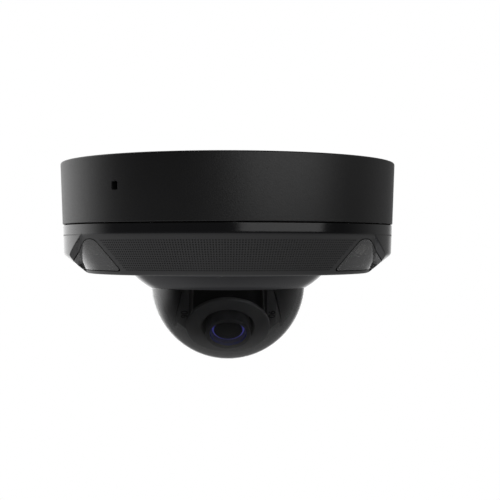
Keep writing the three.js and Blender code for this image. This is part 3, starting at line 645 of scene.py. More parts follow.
def outside_distance(radius, turn, height):
    """How far places are outside the cover's rounded solid shape."""
    size = settings("cover")

    def beyond(first, second):
        """The distance beyond the line between two places in the plane of radius and height."""
        along = (Vector(second) - Vector(first)).normalized()
        return along.y * (radius - first[0]) - along.x * (height - first[1])

    foot = (size.foot_radius, COVER_FOOT)
    shoulder = (size.shoulder_radius, -size.shoulder)
    wall = beyond(shoulder, (size.top_radius, COVER_TOP))
    body = smooth_max(wall, beyond(foot, shoulder), size.edge_round)
    body = smooth_max(body, COVER_FOOT - height, size.edge_round)
    body = smooth_max(body, height - COVER_TOP, size.edge_round * 0.5)
    body = numpy.maximum(body, RING_HOLE - radius)
    cone = beyond((size.recess_foot_radius, COVER_FOOT), (size.recess_top_radius, -size.recess_top))
    point, normal = recess_side()
    across, back = abs(radius * numpy.sin(turn)), -radius * numpy.cos(turn)
    side = (across - point.x) * normal.x + (back - point.y) * normal.y + (height - point.z) * normal.z
    limit = radius * numpy.sin(math.radians(RECESS_LIMIT_AZIMUTH) - abs(turn))
    recess = smooth_min(cone, numpy.minimum(side, limit), size.recess_round)
    return smooth_max(body, recess, size.recess_round)


def azimuth_steps():
    """Azimuths in degrees, close together where the recess's side walls are."""
    half = [*numpy.arange(0, 51, 1.5), *numpy.arange(51, 80, 0.16), *numpy.arange(80, 180, 2.0)]
    return [*half, 180.0, *[-azimuth for azimuth in reversed(half[1:])]]


def section_targets():
    """Places round the plain section, close together at its corners, that the surface is looked for towards."""
    size = settings("cover")
    corners = [
        Vector((RING_HOLE, COVER_TOP)),
        Vector((RING_HOLE, COVER_FOOT)),
        Vector((size.foot_radius, COVER_FOOT)),
        Vector((size.shoulder_radius, -size.shoulder)),
        Vector((size.top_radius, COVER_TOP)),
    ]
    steps = (2, 8, 34, 34, 6)
    near = [0.12 * MM, 0.25 * MM, 0.4 * MM, 0.6 * MM]
    targets = []
    for i, (corner, count) in enumerate(zip(corners, steps)):
        following = corners[(i + 1) % len(corners)]
        reach_between = (following - corner).length
        stops = [0, *near] + [reach_between * step / count for step in range(1, count)]
        stops += [reach_between - gap for gap in near]
        targets += [corner.lerp(following, stop / reach_between) for stop in sorted(stops)]
    return targets


def cover_blank(name):
    """The cover's outside as a solid ring, with its recess and its rounded edges."""
    centre = (46 * MM, -22.5 * MM)
    targets = section_targets()
    turns = numpy.radians(azimuth_steps())[:, None]
    reach_r = numpy.array([target.x - centre[0] for target in targets])[None, :]
    reach_z = numpy.array([target.y - centre[1] for target in targets])[None, :]
    lowest = numpy.zeros((turns.shape[0], len(targets)))
    highest = numpy.full_like(lowest, 1.05)
    for _ in range(26):
        tried = (lowest + highest) / 2
        outside = outside_distance(centre[0] + reach_r * tried, turns, centre[1] + reach_z * tried) > 0
        highest = numpy.where(outside, tried, highest)
        lowest = numpy.where(outside, lowest, tried)
    radius = centre[0] + reach_r * highest
    height = centre[1] + reach_z * highest
    rings = [
        [Vector(point) for point in zip(r * math.sin(t), -r * math.cos(t), z)]
        for r, t, z in zip(radius, turns[:, 0], height)
    ]
    return rings_to_mesh(name, rings, closed=True)


def window_prism(grow):
    """The right-hand window's outline seen from the front, grown and pushed back through the cover."""
    corners = [(43.3, -24.85), (40.1, -24.85), (32.1, -34.3), (51.3, -34.3)]
    centre = Vector((41.7 * MM, -30 * MM))
    shifted = []
    for i, corner in enumerate(corners):
        here = Vector(corner) * MM
        before, after = Vector(corners[i - 1]) * MM, Vector(corners[(i + 1) % 4]) * MM
        sides = []
        for start, end in ((before, here), (here, after)):
            along = (end - start).normalized()
            out = Vector((along.y, -along.x))
            sides.append(out if out.dot(start - centre) > 0 else -out)
        bisector = (sides[0] + sides[1]).normalized()
        push = bisector * (grow / bisector.dot(sides[0]))
        shifted.append((*(here + push), 1.5 * MM + grow))
    outline = filleted(shifted, steps=8)
    prism = extruded("prism", outline, 0, 60 * MM, axis="Y")
    keep = sector(86, grow)
    return combined(prism, [keep], "INTERSECT")


def sector(azimuth, grow):
    """A block that reaches from the front round to an azimuth."""
    turn = math.radians(azimuth)
    far = 90 * MM
    ahead = Vector((math.sin(turn), -math.cos(turn)))
    out = Vector((math.cos(turn), math.sin(turn)))
    near, beyond = out * grow, -out * far
    corners = [near - ahead * far, near + ahead * far, beyond + ahead * far, beyond - ahead * far]
    return extruded("sector", [tuple(corner) for corner in corners], -80 * MM, 10 * MM)


def mirrored_copy(made, name):
    """The same shape on the other side of the camera."""
    bm = bmesh.new()
    bm.from_mesh(made.data)
    bmesh.ops.transform(bm, matrix=Matrix.Scale(-1, 4, (1, 0, 0)), verts=bm.verts)
    bmesh.ops.reverse_faces(bm, faces=bm.faces)
    return mesh_object(name, bm)


def copied(made, name):
    """The same shape once more."""
    other = bpy.data.objects.new(name, made.data.copy())
    bpy.context.scene.collection.objects.link(other)
    return other


def recess_wall():
    """The radial thickness of the cover behind the recess surface."""
    return 2.2 * MM * math.hypot(1, recess_slope())


def cover_cavity():
    """The room inside the cover."""
    meet = -24.6 * MM

    def inner(height):
        """The radius of the room at a height."""
        return recess_radius(height) - recess_wall()

    ledge = 49.0 * MM
    profile = [
        (0, COVER_FLOOR),
        (inner(COVER_FLOOR), COVER_FLOOR),
        (inner(meet), meet),
        (ledge, -23.1 * MM),
        (ledge, -21.9 * MM),
        (COVER_INNER, -21.9 * MM),
        (COVER_INNER, COVER_TOP + 1 * MM),
        (0, COVER_TOP + 1 * MM),
    ]
    return turned("cavity", profile, 240)


# ---------------------------------------------------------------- repeated shapes

def group_input(tree, name, kind, value):
    """A named input of a node tree, with its default."""
    socket = tree.interface.new_socket(name, in_out="INPUT", socket_type=kind)
    socket.default_value = value
    return socket.identifier


def repeat_tree(name, material, sizes, build):
    """A node tree that sets one shape on every point, its own Z along the point's facing."""
    tree = bpy.data.node_groups.new(name, "GeometryNodeTree")
    tree.interface.new_socket("Points", in_out="INPUT", socket_type="NodeSocketGeometry")
    identifiers = {key: group_input(tree, key, "NodeSocketFloat", value) for key, value in sizes.items()}
    tree.interface.new_socket("Shapes", in_out="OUTPUT", socket_type="NodeSocketGeometry")
    given = tree.nodes.new("NodeGroupInput")
    result = tree.nodes.new("NodeGroupOutput")
    facing = tree.nodes.new("GeometryNodeInputNamedAttribute")
    facing.data_type = "FLOAT_VECTOR"
    facing.inputs["Name"].default_value = "facing"
    turn = tree.nodes.new("FunctionNodeAlignRotationToVector")
    turn.axis = "Z"
    tree.links.new(facing.outputs["Attribute"], turn.inputs["Vector"])
    stand = tree.nodes.new("GeometryNodeInstanceOnPoints")
    tree.links.new(given.outputs["Points"], stand.inputs["Points"])
    tree.links.new(build(tree, given), stand.inputs["Instance"])
    tree.links.new(turn.outputs["Rotation"], stand.inputs["Rotation"])
    real = tree.nodes.new("GeometryNodeRealizeInstances")
    tree.links.new(stand.outputs["Instances"], real.inputs["Geometry"])
    coated = tree.nodes.new("GeometryNodeSetMaterial")
    coated.inputs["Material"].default_value = material
    tree.links.new(real.outputs["Geometry"], coated.inputs["Geometry"])
    tree.links.new(coated.outputs["Geometry"], result.inputs["Shapes"])
    return tree, identifiers


def repeated(name, points, material, sizes, build):
    """One mesh of the same shape on every point, given as pairs of a place and a facing."""
    mesh = bpy.data.meshes.new(name)
    mesh.from_pydata([tuple(place) for place, _ in points], [], [])
    attribute = mesh.attributes.new("facing", "FLOAT_VECTOR", "POINT")
    attribute.data.foreach_set("vector", [value for _, facing in points for value in facing])
    made = bpy.data.objects.new(name, mesh)
    bpy.context.scene.collection.objects.link(made)
    tree, identifiers = repeat_tree(name + "_tree", FINISHES[material](), sizes, build)
    modifier = made.modifiers.new("repeat", "NODES")
    modifier.node_group = tree
    for key, value in sizes.items():
        modifier[identifiers[key]] = value
    return settled(made)


def ball_shape(segments, rings):
    """A builder of a flattened ball with inputs Radius and Height."""

    def build(tree, given):
        ball = tree.nodes.new("GeometryNodeMeshUVSphere")
        ball.inputs["Segments"].default_value = segments
        ball.inputs["Rings"].default_value = rings
        ball.inputs["Radius"].default_value = 1
        size = tree.nodes.new("ShaderNodeCombineXYZ")
        tree.links.new(given.outputs["Radius"], size.inputs["X"])
        tree.links.new(given.outputs["Radius"], size.inputs["Y"])
        tree.links.new(given.outputs["Height"], size.inputs["Z"])
        flat = tree.nodes.new("GeometryNodeTransform")
        tree.links.new(ball.outputs["Mesh"], flat.inputs["Geometry"])
        tree.links.new(size.outputs["Vector"], flat.inputs["Scale"])
        return flat.outputs["Geometry"]

    return build


def torus_shape(segments, sides):
    """A builder of a fine round ring with inputs Radius and Thickness."""

    def build(tree, given):
        path = tree.nodes.new("GeometryNodeCurvePrimitiveCircle")
        path.inputs["Resolution"].default_value = segments
        tree.links.new(given.outputs["Radius"], path.inputs["Radius"])
        section = tree.nodes.new("GeometryNodeCurvePrimitiveCircle")
        section.inputs["Resolution"].default_value = sides
        tree.links.new(given.outputs["Thickness"], section.inputs["Radius"])
        sweep = tree.nodes.new("GeometryNodeCurveToMesh")
        tree.links.new(path.outputs["Curve"], sweep.inputs["Curve"])
        tree.links.new(section.outputs["Curve"], sweep.inputs["Profile Curve"])
        return sweep.outputs["Mesh"]

    return build


def block_shape(tree, given):
    """A builder of a block with inputs Width, Depth and Tall."""
    size = tree.nodes.new("ShaderNodeCombineXYZ")
    for axis, key in zip("XYZ", ("Width", "Depth", "Tall")):
        tree.links.new(given.outputs[key], size.inputs[axis])
    cube = tree.nodes.new("GeometryNodeMeshCube")
    tree.links.new(size.outputs["Vector"], cube.inputs["Size"])
    return cube.outputs["Mesh"]


# ---------------------------------------------------------------- pieces of the base

POSTS = (  # radius, distance from the axis, azimuths, foot below the ceiling, bore, depth of the bore
    (3.8, 40, (0, 120, -120), 19.85, 1.7, 9),
    (3.2, 27, (0, 120, -120), 16.7, 1.3, 7),
    (2.8, 37, (80, 180, -80), 8.7, 1.2, 4.6),
    (3.0, 43.5, (66, -66), 19.5, 0, 0),
)
CEILING_HOLES = [on_circle(46.5 * MM, azimuth) for azimuth in (-90, 30, 150)]
CABLE_PLACE = (0, 20 * MM)
MICROPHONE_AZIMUTH = -37.1
MICROPHONE_HEIGHT = -9.25 * MM


def microphone_hole():
    """The rounded hole in front of the microphone, as a bar that points out from the axis."""
    half_width, half_height = 1.15 * MM, 1.3 * MM
    corners = [(-1, -1), (1, -1), (1, 1), (-1, 1)]
    outline = filleted([(x * half_width, y * half_height, 0.55 * MM) for x, y in corners], steps=6)
    hole = extruded("hole", outline, 46 * MM, 60 * MM, axis="Y")
    turn = Matrix.Rotation(math.radians(MICROPHONE_AZIMUTH), 4, "Z")
    hole.data.transform(Matrix.Translation((0, 0, MICROPHONE_HEIGHT)) @ turn)
    return hole


def base_housing():
    """The drum against the ceiling, open below, with its posts and holes."""
    size = settings("housing")
    rim = reach("base_housing")
    inner = rim - size.wall
    ledge = size.foot_radius - size.lip
    groove_in, groove_out, groove_top = 49.6 * MM, 51.6 * MM, -1.5 * MM
    outline = [
        (0, -size.plate, 0),
        (inner, -size.plate, 0.5 * MM),
        (inner, SEAM + 3.4 * MM, 0.3 * MM),
        (ledge, SEAM + 2.4 * MM, 0.2 * MM),
        (ledge, SEAM, 0.2 * MM),
        (size.foot_radius, SEAM, size.foot_round),
        (rim, 0, size.rim_round),
        (groove_out, 0, 0.1 * MM),
        (groove_out, groove_top, 0),
        (groove_in, groove_top, 0),
        (groove_in, 0, 0.1 * MM),
        (0, 0, 0),
    ]
    made = turned("base_housing_shell", filleted(outline, 6, closed=False), 256)
    posts, bores = [], []
    for radius, at, azimuths, foot, bore, drilled in POSTS:
        for place in (on_circle(at * MM, azimuth) for azimuth in azimuths):
            posts.append(bar(radius * MM, -foot * MM, (0.5 * MM) - size.plate, place))
            if bore:
                bores.append(bar(bore * MM, -(foot + 1) * MM, (drilled - foot) * MM, place, 32))
    combined(made, posts, "UNION")
    holes = [bar(2.3 * MM, -5 * MM, 1 * MM, place) for place in CEILING_HOLES]
    holes.append(bar(9 * MM, -5 * MM, 1 * MM, CABLE_PLACE, 96))
    combined(made, [*bores, *holes, microphone_hole()], "DIFFERENCE")
    return fit_out(made, "housing", "black_coat", nodes=["base_housing"])


class DOMECAMERA_OT_housing(Operator):
    """Makes the base housing with its posts and holes"""

    bl_idname = "dome_camera.housing"
    bl_label = "Base housing"

    def execute(self, context):
        base_housing()
        return {"FINISHED"}


# ---------------------------------------------------------------- pieces of the cover

def front_cover(blank):
    """The cover's shell with its tubes, bosses, openings and screw holes."""
    made = combined(copied(blank, "front_cover_shell"), [cover_cavity()], "DIFFERENCE")
    tubes = [bar(4.8 * MM, COVER_FLOOR - 0.5 * MM, SEAM - 0.3 * MM, place) for place in COVER_POSTS]
    boss_top = low("dome_clamp") - 0.3 * MM
    tubes += [bar(2.6 * MM, COVER_FLOOR - 0.5 * MM, boss_top, place) for place in CLAMP_POSTS]
    combined(made, tubes, "UNION")
    prism = window_prism(settings("cover").window_gap)
    other = mirrored_copy(prism, "other_prism")
    holes = [bar(1.7 * MM, COVER_FOOT - 1 * MM, 0, place) for place in COVER_POSTS]
    holes += [bar(3.2 * MM, COVER_FOOT - 1 * MM, SCREW_FACE, place) for place in COVER_POSTS]
    holes += [bar(1.2 * MM, COVER_FOOT + 1.2 * MM, 0, place, 32) for place in CLAMP_POSTS]
    combined(made, [prism, other, *holes], "DIFFERENCE")
    return fit_out(made, "cover", "cover_plastic", nodes=["front_cover"], angle=24)


def lamp_windows(blank):
    """The two grey clear windows that carry the cover's outside on."""
    wall = turned(
        "window_back",
        [
            (0, COVER_FLOOR),
            (recess_radius(COVER_FLOOR) - recess_wall(), COVER_FLOOR),
            (recess_radius(0) - recess_wall(), 0),
            (0, 0),
        ],
        240,
    )
    right = combined(copied(blank, "lamp_window_right_pane"), [window_prism(0)], "INTERSECT")
    combined(right, [wall], "DIFFERENCE")
    left = mirrored_copy(right, "lamp_window_left_pane")
    fit_out(right, "cover", "smoked_clear", nodes=["lamp_window_right"], angle=24)
    fit_out(left, "cover", "smoked_clear", nodes=["lamp_window_left"], angle=24)


def recess_dots():
    """The fine dots in rows on the recess surface, kept clear of the windows."""
    size = settings("cover")
    slant = math.hypot(1, recess_slope())
    out = Vector((1, 0, -recess_slope())).normalized()
    first_row = -25.2 * MM
    clear = 1.7 * MM
    points = []
    for row in range(size.dot_rows):
        height = first_row - row * size.dot_pitch / slant
        radius = recess_radius(height)
        edge = 40.1 * MM + (height + 24.85 * MM) * 8 / 9.45 - clear
        step = size.dot_pitch / recess_radius(-30 * MM)
        for column in range(-60, 61):
            turn = column * step
            if abs(radius * math.sin(turn)) < edge:
                place = Vector((radius * math.sin(turn), -radius * math.cos(turn), height))
                facing = Vector((out.x * math.sin(turn), -out.x * math.cos(turn), out.z))
                points.append((place, facing))
    sizes = {"Radius": size.dot_radius, "Height": size.dot_height}
    made = repeated("recess_dots", points, "dot_plastic", sizes, ball_shape(8, 4))
    return fit_out(made, "cover", "dot_plastic", angle=60)


class DOMECAMERA_OT_cover(Operator):
    """Makes the front cover, its dots and its lamp windows"""

    bl_idname = "dome_camera.cover"
    bl_label = "Front cover"

    def execute(self, context):
        blank = cover_blank("cover_blank")
        front_cover(blank)
        lamp_windows(blank)
        bpy.data.objects.remove(blank)
        recess_dots()
        return {"FINISHED"}


# ---------------------------------------------------------------- ring and dome

def arc_points(radius, centre, start, end, steps):
    """Points of radius and height along an arc, its angles in degrees above the horizon."""
    points = []
    for step in range(steps + 1):
        turn = math.radians(start + (end - start) * step / steps)
        across = 0 if abs(math.cos(turn)) < 1e-9 else radius * math.cos(turn)
        points.append((across, centre + radius * math.sin(turn)))
    return points


def dome_ring():
    """The flared ring round the dome, with its flange inside the cover."""
    size = settings("dome")
    bore = 25.8 * MM
    flange_top = high("dome_ring")
    flange_foot = COVER_FLOOR + 0.3 * MM
    lip = low("dome_ring")
    top = Vector((32 * MM, COVER_FOOT))
    foot = Vector((bore + 0.1 * MM, lip))
    bend = (top + foot) / 2 - Vector((0, size.ring_bulge))
    flare = []
    for step in range(17):
        t = step / 16
        point = top * (1 - t) ** 2 + bend * (2 * t * (1 - t)) + foot * t**2
        flare.append((point.x, point.y, 0))
    outline = [
        (bore, lip + 0.3 * MM, 0),
        (bore, flange_top, 0.15 * MM),
        (34.1 * MM, flange_top, 0.15 * MM),
        (34.1 * MM, flange_foot, 0.1 * MM),
        (32 * MM, flange_foot, 0),
        *flare[:-1],
        (bore + 0.35 * MM, lip + 0.12 * MM, 0),
        (bore + 0.15 * MM, lip, 0),
    ]
    made = turned("dome_ring_trim", filleted(outline, 4), 256)
    return fit_out(made, "cover", "black_plastic", nodes=["dome_ring"])


def clear_dome():
    """The clear dome with its flange."""
    wall = settings("dome").wall
    centre = DOME_CENTRE.z
    inner = DOME_RADIUS - wall
    lowest, highest = low("dome_gasket") + 1 * MM, high("clear_dome")
    flange = reach("clear_dome")
    rim = [
        (DOME_RADIUS, lowest, 0.2 * MM),
        (flange, lowest, 0.2 * MM),
        (flange, highest, 0.2 * MM),
        (inner, highest, 0.2 * MM),
    ]
    profile = [
        *arc_points(DOME_RADIUS, centre, -90, 0, 72),
        *filleted([(DOME_RADIUS, centre, 0), *rim, (inner, centre, 0)], 4, closed=False)[1:-1],
        *arc_points(inner, centre, 0, -90, 72),
    ]
    made = turned("clear_dome_shell", profile, 256)
    return fit_out(made, "cover", "clear", nodes=["clear_dome"])


class DOMECAMERA_OT_dome(Operator):
    """Makes the clear dome and the ring round it"""

    bl_idname = "dome_camera.dome"
    bl_label = "Dome and ring"

    def execute(self, context):
        dome_ring()
        clear_dome()
        return {"FINISHED"}


# ---------------------------------------------------------------- gimbal

ARM_INNER = 12 * MM
ARM_OUTER = 14 * MM
ARM_RADIUS = 17.7 * MM
ARM_HALF = 13 * MM
ARM_FOOT = 15.6 * MM
ARM_CORNER = 27.8 * MM
LEAN = 0.26
LEAN_FROM = 2.15 * MM
LINER_INNER = 14.5 * MM
YOKE_BALL = 23.1 * MM
TURNTABLE_TOP = -22.3 * MM
TURNTABLE_FOOT = -24.3 * MM


def beyond_plane(point, normal, reach_out=80 * MM):
    """A block that fills the side of a plane that its normal points to."""
    half = reach_out
    outline = [(-half, -half), (half, -half), (half, half), (-half, half)]
    made = extruded("half_space", outline, 0, reach_out)
    turn = Vector((0, 0, 1)).rotation_difference(Vector(normal).normalized()).to_matrix().to_4x4()
    made.data.transform(Matrix.Translation(Vector(point)) @ turn)
    return made


def yoke_arm():
    """The right-hand arm, its outer face leaning outwards below and its corner cut at 45 degrees."""
    top = TURNTABLE_FOOT + 1 * MM - DOME_CENTRE.z
    shoulder = math.acos(ARM_HALF / ARM_RADIUS)
    heel = -math.asin(ARM_FOOT / ARM_RADIUS)
    outline = [(-ARM_HALF, top), (ARM_HALF, top)]
    steps = 28
    for step in range(steps + 1):
        turn = shoulder + (heel - shoulder) * step / steps
        outline.append((ARM_RADIUS * math.cos(turn), ARM_RADIUS * math.sin(turn)))
    for step in range(steps + 1):
        turn = math.pi - heel + (heel - shoulder) * step / steps
        outline.append((ARM_RADIUS * math.cos(turn), ARM_RADIUS * math.sin(turn)))
    widest = ARM_OUTER + LEAN * ARM_FOOT
    plate = extruded("yoke_arm", outline, ARM_INNER, widest, axis="X")
    plate.data.transform(Matrix.Translation(DOME_CENTRE))
    edge = (ARM_OUTER, 0, DOME_CENTRE.z - LEAN_FROM)
    upper = beyond_plane(edge, (1, 0, 0))
    leaning = beyond_plane(edge, (1, 0, LEAN))
    outer = combined(upper, [leaning], "INTERSECT")
    corner = beyond_plane((ARM_CORNER, 0, DOME_CENTRE.z), (1, 0, -1))
    pivot = bar(2.4 * MM, -30 * MM, 30 * MM)
    pivot.data.transform(Matrix.Translation(DOME_CENTRE) @ Matrix.Rotation(math.pi / 2, 4, "Y"))
    combined(plate, [outer, corner], "DIFFERENCE")
    softened(plate, 0.45 * MM, 3, 38)
    return combined(plate, [pivot, yoke_limit()], "DIFFERENCE")


def yoke_limit():
    """The room outside the ball that the yoke stays in."""
    ball = arc_points(YOKE_BALL, DOME_CENTRE.z, -90, 0, 48)
    top = TURNTABLE_TOP + 1 * MM
    outside = [(YOKE_BALL, top), (60 * MM, top), (60 * MM, -80 * MM), (0, -80 * MM)]
    return turned("limit", [*ball, *outside], 192)


def pan_yoke():
    """The turntable with its hub and both arms."""
    right = yoke_arm()
    left = mirrored_copy(right, "left_arm")
    plate = [
        (11 * MM, TURNTABLE_FOOT, 0.3 * MM),
        (23 * MM, TURNTABLE_FOOT, 0.3 * MM),
        (23 * MM, TURNTABLE_TOP, 0.3 * MM),
        (15.4 * MM, TURNTABLE_TOP, 0),
        (15.4 * MM, high("pan_yoke"), 0.2 * MM),
        (11 * MM, high("pan_yoke"), 0.2 * MM),
    ]
    made = turned("pan_yoke_body", filleted(plate), 192)
    combined(made, [right, left], "UNION")
    return fit_out(made, "pan_gimbal", "yoke_plastic", nodes=["pan_yoke"], angle=28)


def liner_cheek():
    """The right-hand cheek that fills the space between the arm and the dome."""
    thick = settings("dome").liner_thick
    outer = 23.3 * MM
    top = TURNTABLE_FOOT - 0.3 * MM
    profile = [
        *arc_points(outer, DOME_CENTRE.z, -90, 0, 64),
        (outer, top),
        (outer - thick, top),
        *arc_points(outer - thick, DOME_CENTRE.z, 0, -90, 64),
    ]
    made = turned("liner", profile, 256)
    edge = (LINER_INNER, 0, DOME_CENTRE.z - LEAN_FROM)
    keep = [beyond_plane(edge, (1, 0, 0)), beyond_plane(edge, (1, 0, LEAN))]
    combined(made, keep, "INTERSECT")
    return made


def liner_cheeks():
    """Both cheeks beside the yoke."""
    right = liner_cheek()
    right.name = "liner_right_cheek"
    left = mirrored_copy(right, "liner_left_cheek")
    fit_out(right, "pan_gimbal", "liner_plastic", nodes=["liner_right"], angle=50)
    fit_out(left, "pan_gimbal", "liner_plastic", nodes=["liner_left"], angle=50)


def tilt_mark(name, side):
    """The 90 of the tilt scale, wrapped round the front of an arm."""
    text = bpy.data.curves.new(name, "FONT")
    text.body = "90"
    text.size = settings("lens").mark_height / 0.7
    text.align_x = "CENTER"
    text.align_y = "CENTER"
    text.extrude = 0.05 * MM
    text.offset = 0.03 * MM
    text.resolution_u = 6
    flat = bpy.data.objects.new(name + "_flat", text)
    bpy.context.scene.collection.objects.link(flat)
    bpy.context.view_layer.update()
    mesh = evaluated_mesh(flat)
    bpy.data.objects.remove(flat)
    middle_turn = math.asin((48.4 * MM + DOME_CENTRE.z) / ARM_RADIUS)
    for vertex in mesh.vertices:
        along, up, out = vertex.co
        turn = -middle_turn + side * -1 * along / ARM_RADIUS
        radius = ARM_RADIUS + 0.02 * MM + out
        vertex.co = (
            side * (13.45 * MM + up),
            -radius * math.cos(turn),
            DOME_CENTRE.z + radius * math.sin(turn),
        )
    bm = bmesh.new()
    bm.from_mesh(mesh)
    bmesh.ops.remove_doubles(bm, verts=bm.verts, dist=0.001 * MM)
    made = mesh_object(name, bm)
    return fit_out(made, "pan_gimbal", "ink_black")


class DOMECAMERA_OT_gimbal(Operator):
    """Makes the yoke with its tilt scale and the liner cheeks"""

    bl_idname = "dome_camera.gimbal"
    bl_label = "Gimbal"

    def execute(self, context):
        pan_yoke()
        liner_cheeks()
        tilt_mark("tilt_mark_right", 1)
        tilt_mark("tilt_mark_left", -1)
        return {"FINISHED"}


# ---------------------------------------------------------------- lens

def on_lens_axis(made):
    """Lays a piece that was turned about Z along the lens axis."""
    made.data.transform(LENS_TURN)
    return made


def lens_turned(name, outline, body, material, nodes, sides=160):
    """A turned piece on the lens axis, from points of radius, place and rounding."""
    closed = not (outline[0][0] == 0 and outline[-1][0] == 0)
    scaled = [(radius * MM, place * MM, rounding * MM) for radius, place, rounding in outline]
    made = on_lens_axis(turned(name, filleted(scaled, 5, closed=closed), sides))
    return fit_out(made, body, material, nodes=nodes)


def module_can():
    """The can that the lens turns in, with its pivot holes and cable slot."""
    outline = [
        (0, -8, 0),
        (11.4, -8, 0.8),
        (11.4, 17.7, 0.3),
        (10.2, 17.7, 0.2),
        (10.2, -6.8, 0.4),
        (0, -6.8, 0),
    ]
    scaled = [(radius * MM, place * MM, rounding * MM) for radius, place, rounding in outline]
    made = turned("module_can", filleted(scaled, 5, closed=False), 160)
    pivots = bar(2.4 * MM, -30 * MM, 30 * MM)
    pivots.data.transform(Matrix.Rotation(math.pi / 2, 4, "Y"))
    corners = [(-3.5, -1.5), (3.5, -1.5), (3.5, 1.5), (-3.5, 1.5)]
    outline = filleted([(x * MM, y * MM, 0.6 * MM) for x, y in corners])
    slot = extruded("cable_slot", outline, -9 * MM, -6 * MM)
    combined(made, [pivots, slot], "DIFFERENCE")
    on_lens_axis(made)
    return fit_out(made, "tilt_module", "dark_plastic", nodes=["module_shell"])


def lens_pieces():
    """The lens face, the barrel and the coated front lens."""
    face_round = settings("lens").face_round / MM
    lens_turned(
        "lens_face_disc",
        [
            (8.2, 5, 0.1),
            (9.6, 5, 0.2),
            (9.6, 18.3, 0.2),
            (13, 18.3, 0.3),
            (13, 19.5, face_round),
            (8.2, 19.5, 0.35),
        ],
        "lens_unit",
        "lens_face_plastic",
        ["lens_face"],
    )
    lens_turned(
        "lens_barrel_tube",
        [
            (4.4, 6, 0.1),
            (5.9, 6, 0.3),
            (5.9, 17, 0.1),
            (6.95, 17, 0.2),
            (6.95, 22.3, 0.35),
            (5.75, 22.3, 0.2),
            (5.4, 18.7, 0),
            (4.4, 18.7, 0.2),
        ],
        "lens_unit",
        "barrel_black",
        ["lens_barrel"],
    )
    dome = [(5.1 * math.cos(math.radians(a)), 20 + 1.1 * math.sin(math.radians(a)), 0) for a in range(0, 90, 6)]
    lens_turned(
        "front_lens_glass",
        [(0, 19, 0), (5.1, 19, 0.1), *dome, (0, 21.1, 0)],
        "lens_unit",
        "coated_glass",
        ["front_lens"],
    )


def baffle_rings():
    """The fine steps inside the mouth of the barrel, tinted blue as a painted reflection of the coating."""
    count = settings("lens").rings
    points = []
    for i in range(count):
        along = (21.15 + 0.2 * i) * MM
        points.append((Vector((0, 0, along)), Vector((0, 0, 1))))
    sizes = {"Radius": 5.66 * MM, "Thickness": 0.07 * MM}
    made = repeated("baffle_rings", points, "ring_painted_reflection", sizes, torus_shape(96, 8))
    on_lens_axis(made)
    return fit_out(made, "lens_unit", "ring_painted_reflection", angle=60)


class DOMECAMERA_OT_lens(Operator):
    """Makes the lens module, the lens face, the barrel and the front lens"""

    bl_idname = "dome_camera.lens"
    bl_label = "Lens"

    def execute(self, context):
        module_can()
        lens_pieces()
        baffle_rings()
        return {"FINISHED"}


# ---------------------------------------------------------------- inside

NODE_FINISHES = {
    "rubber": ("ceiling_gasket", "cable_grommet", "microphone_boot", "cover_gasket", "dome_gasket"),
    "circuit": ("main_board", "sensor_board", "lamp_board_left", "lamp_board_right"),
    "chip": ("processor", "network_transformer", "image_sensor"),
    "lamp_white": (
        "cable_header",
        "reset_button",
        "lamp_front_left",
        "lamp_front_right",
        "lamp_side_left",
        "lamp_side_right",
    ),
    "pad_grey": ("thermal_pad",),
    "dark_plastic": (
        "memory_card",
        "reset_switch",
        "lamp_carrier_left",
        "lamp_carrier_right",
        "pan_bearing",
        "lens_holder",
    ),
    "aluminium": ("microphone",),
    "black_steel": ("tilt_pivot_left", "tilt_pivot_right"),
    "steel": (
        "card_slot",
        "gimbal_bracket",
        "pan_retainer",
        "dome_clamp",
        *[f"{kind}_screw_{i}" for kind in ("board", "bracket", "cover", "clamp") for i in (1, 2, 3)],
    ),
}


def carried_over():
    """Gives the pieces that stay as they are their finishes."""
    for material, names in NODE_FINISHES.items():
        for name in names:
            node = NODES[name]
            node.data.materials.clear()
            node.data.materials.append(FINISHES[material]())
            for polygon in node.data.polygons:
                polygon.material_index = 0


def board_components():
    """Small resistors and capacitors on the underside of the main board."""
    foot = low("main_board")
    points = []
    for row, (x, y) in enumerate([(8, -26), (16, -22), (-26, 6), (30, 8), (6, 14), (-8, 24), (20, 30), (-30, 14)]):
        for column in range(5):
            place = Vector(((x + column * 1.9) * MM, (y + (row % 2) * 0.4) * MM, foot - 0.3 * MM))
            points.append((place, Vector((0, 0, -1))))
    sizes = {"Width": 1.0 * MM, "Depth": 1.7 * MM, "Tall": 0.7 * MM}
    made = repeated("board_components", points, "chip", sizes, block_shape)
    return fit_out(made, "housing", "chip")


class DOMECAMERA_OT_inside(Operator):
    """Makes the small components on the board and gives the inner pieces their finishes"""

    bl_idname = "dome_camera.inside"
    bl_label = "Inside"

    def execute(self, context):
        carried_over()
        board_components()
        return {"FINISHED"}


# ---------------------------------------------------------------- stage

def panel_light(name, azimuth, elevation, distance, width, tall, power, aim, mirrored_in_gloss=True):
    """A soft box that stands at an azimuth from the front and looks at the camera's middle."""
    light = bpy.data.lights.new(name, "AREA")
    light.shape = "RECTANGLE"
    light.size, light.size_y = width, tall
    light.energy = power
    made = bpy.data.objects.new(name, light)
    turn, lift = math.radians(azimuth), math.radians(elevation)
    made.location = aim + distance * Vector(
        (math.sin(turn) * math.cos(lift), -math.cos(turn) * math.cos(lift), math.sin(lift))
    )
    made.rotation_euler = (aim - made.location).to_track_quat("-Z", "Y").to_euler()
    made.visible_camera = False
    made.visible_glossy = made.visible_transmission = mirrored_in_gloss
    bpy.context.scene.collection.objects.link(made)


BACKDROP = 1.0  # what the view sees past the camera
BEHIND_CLEAR = 0.025  # what shows straight through the dome and windows, as in a dim room


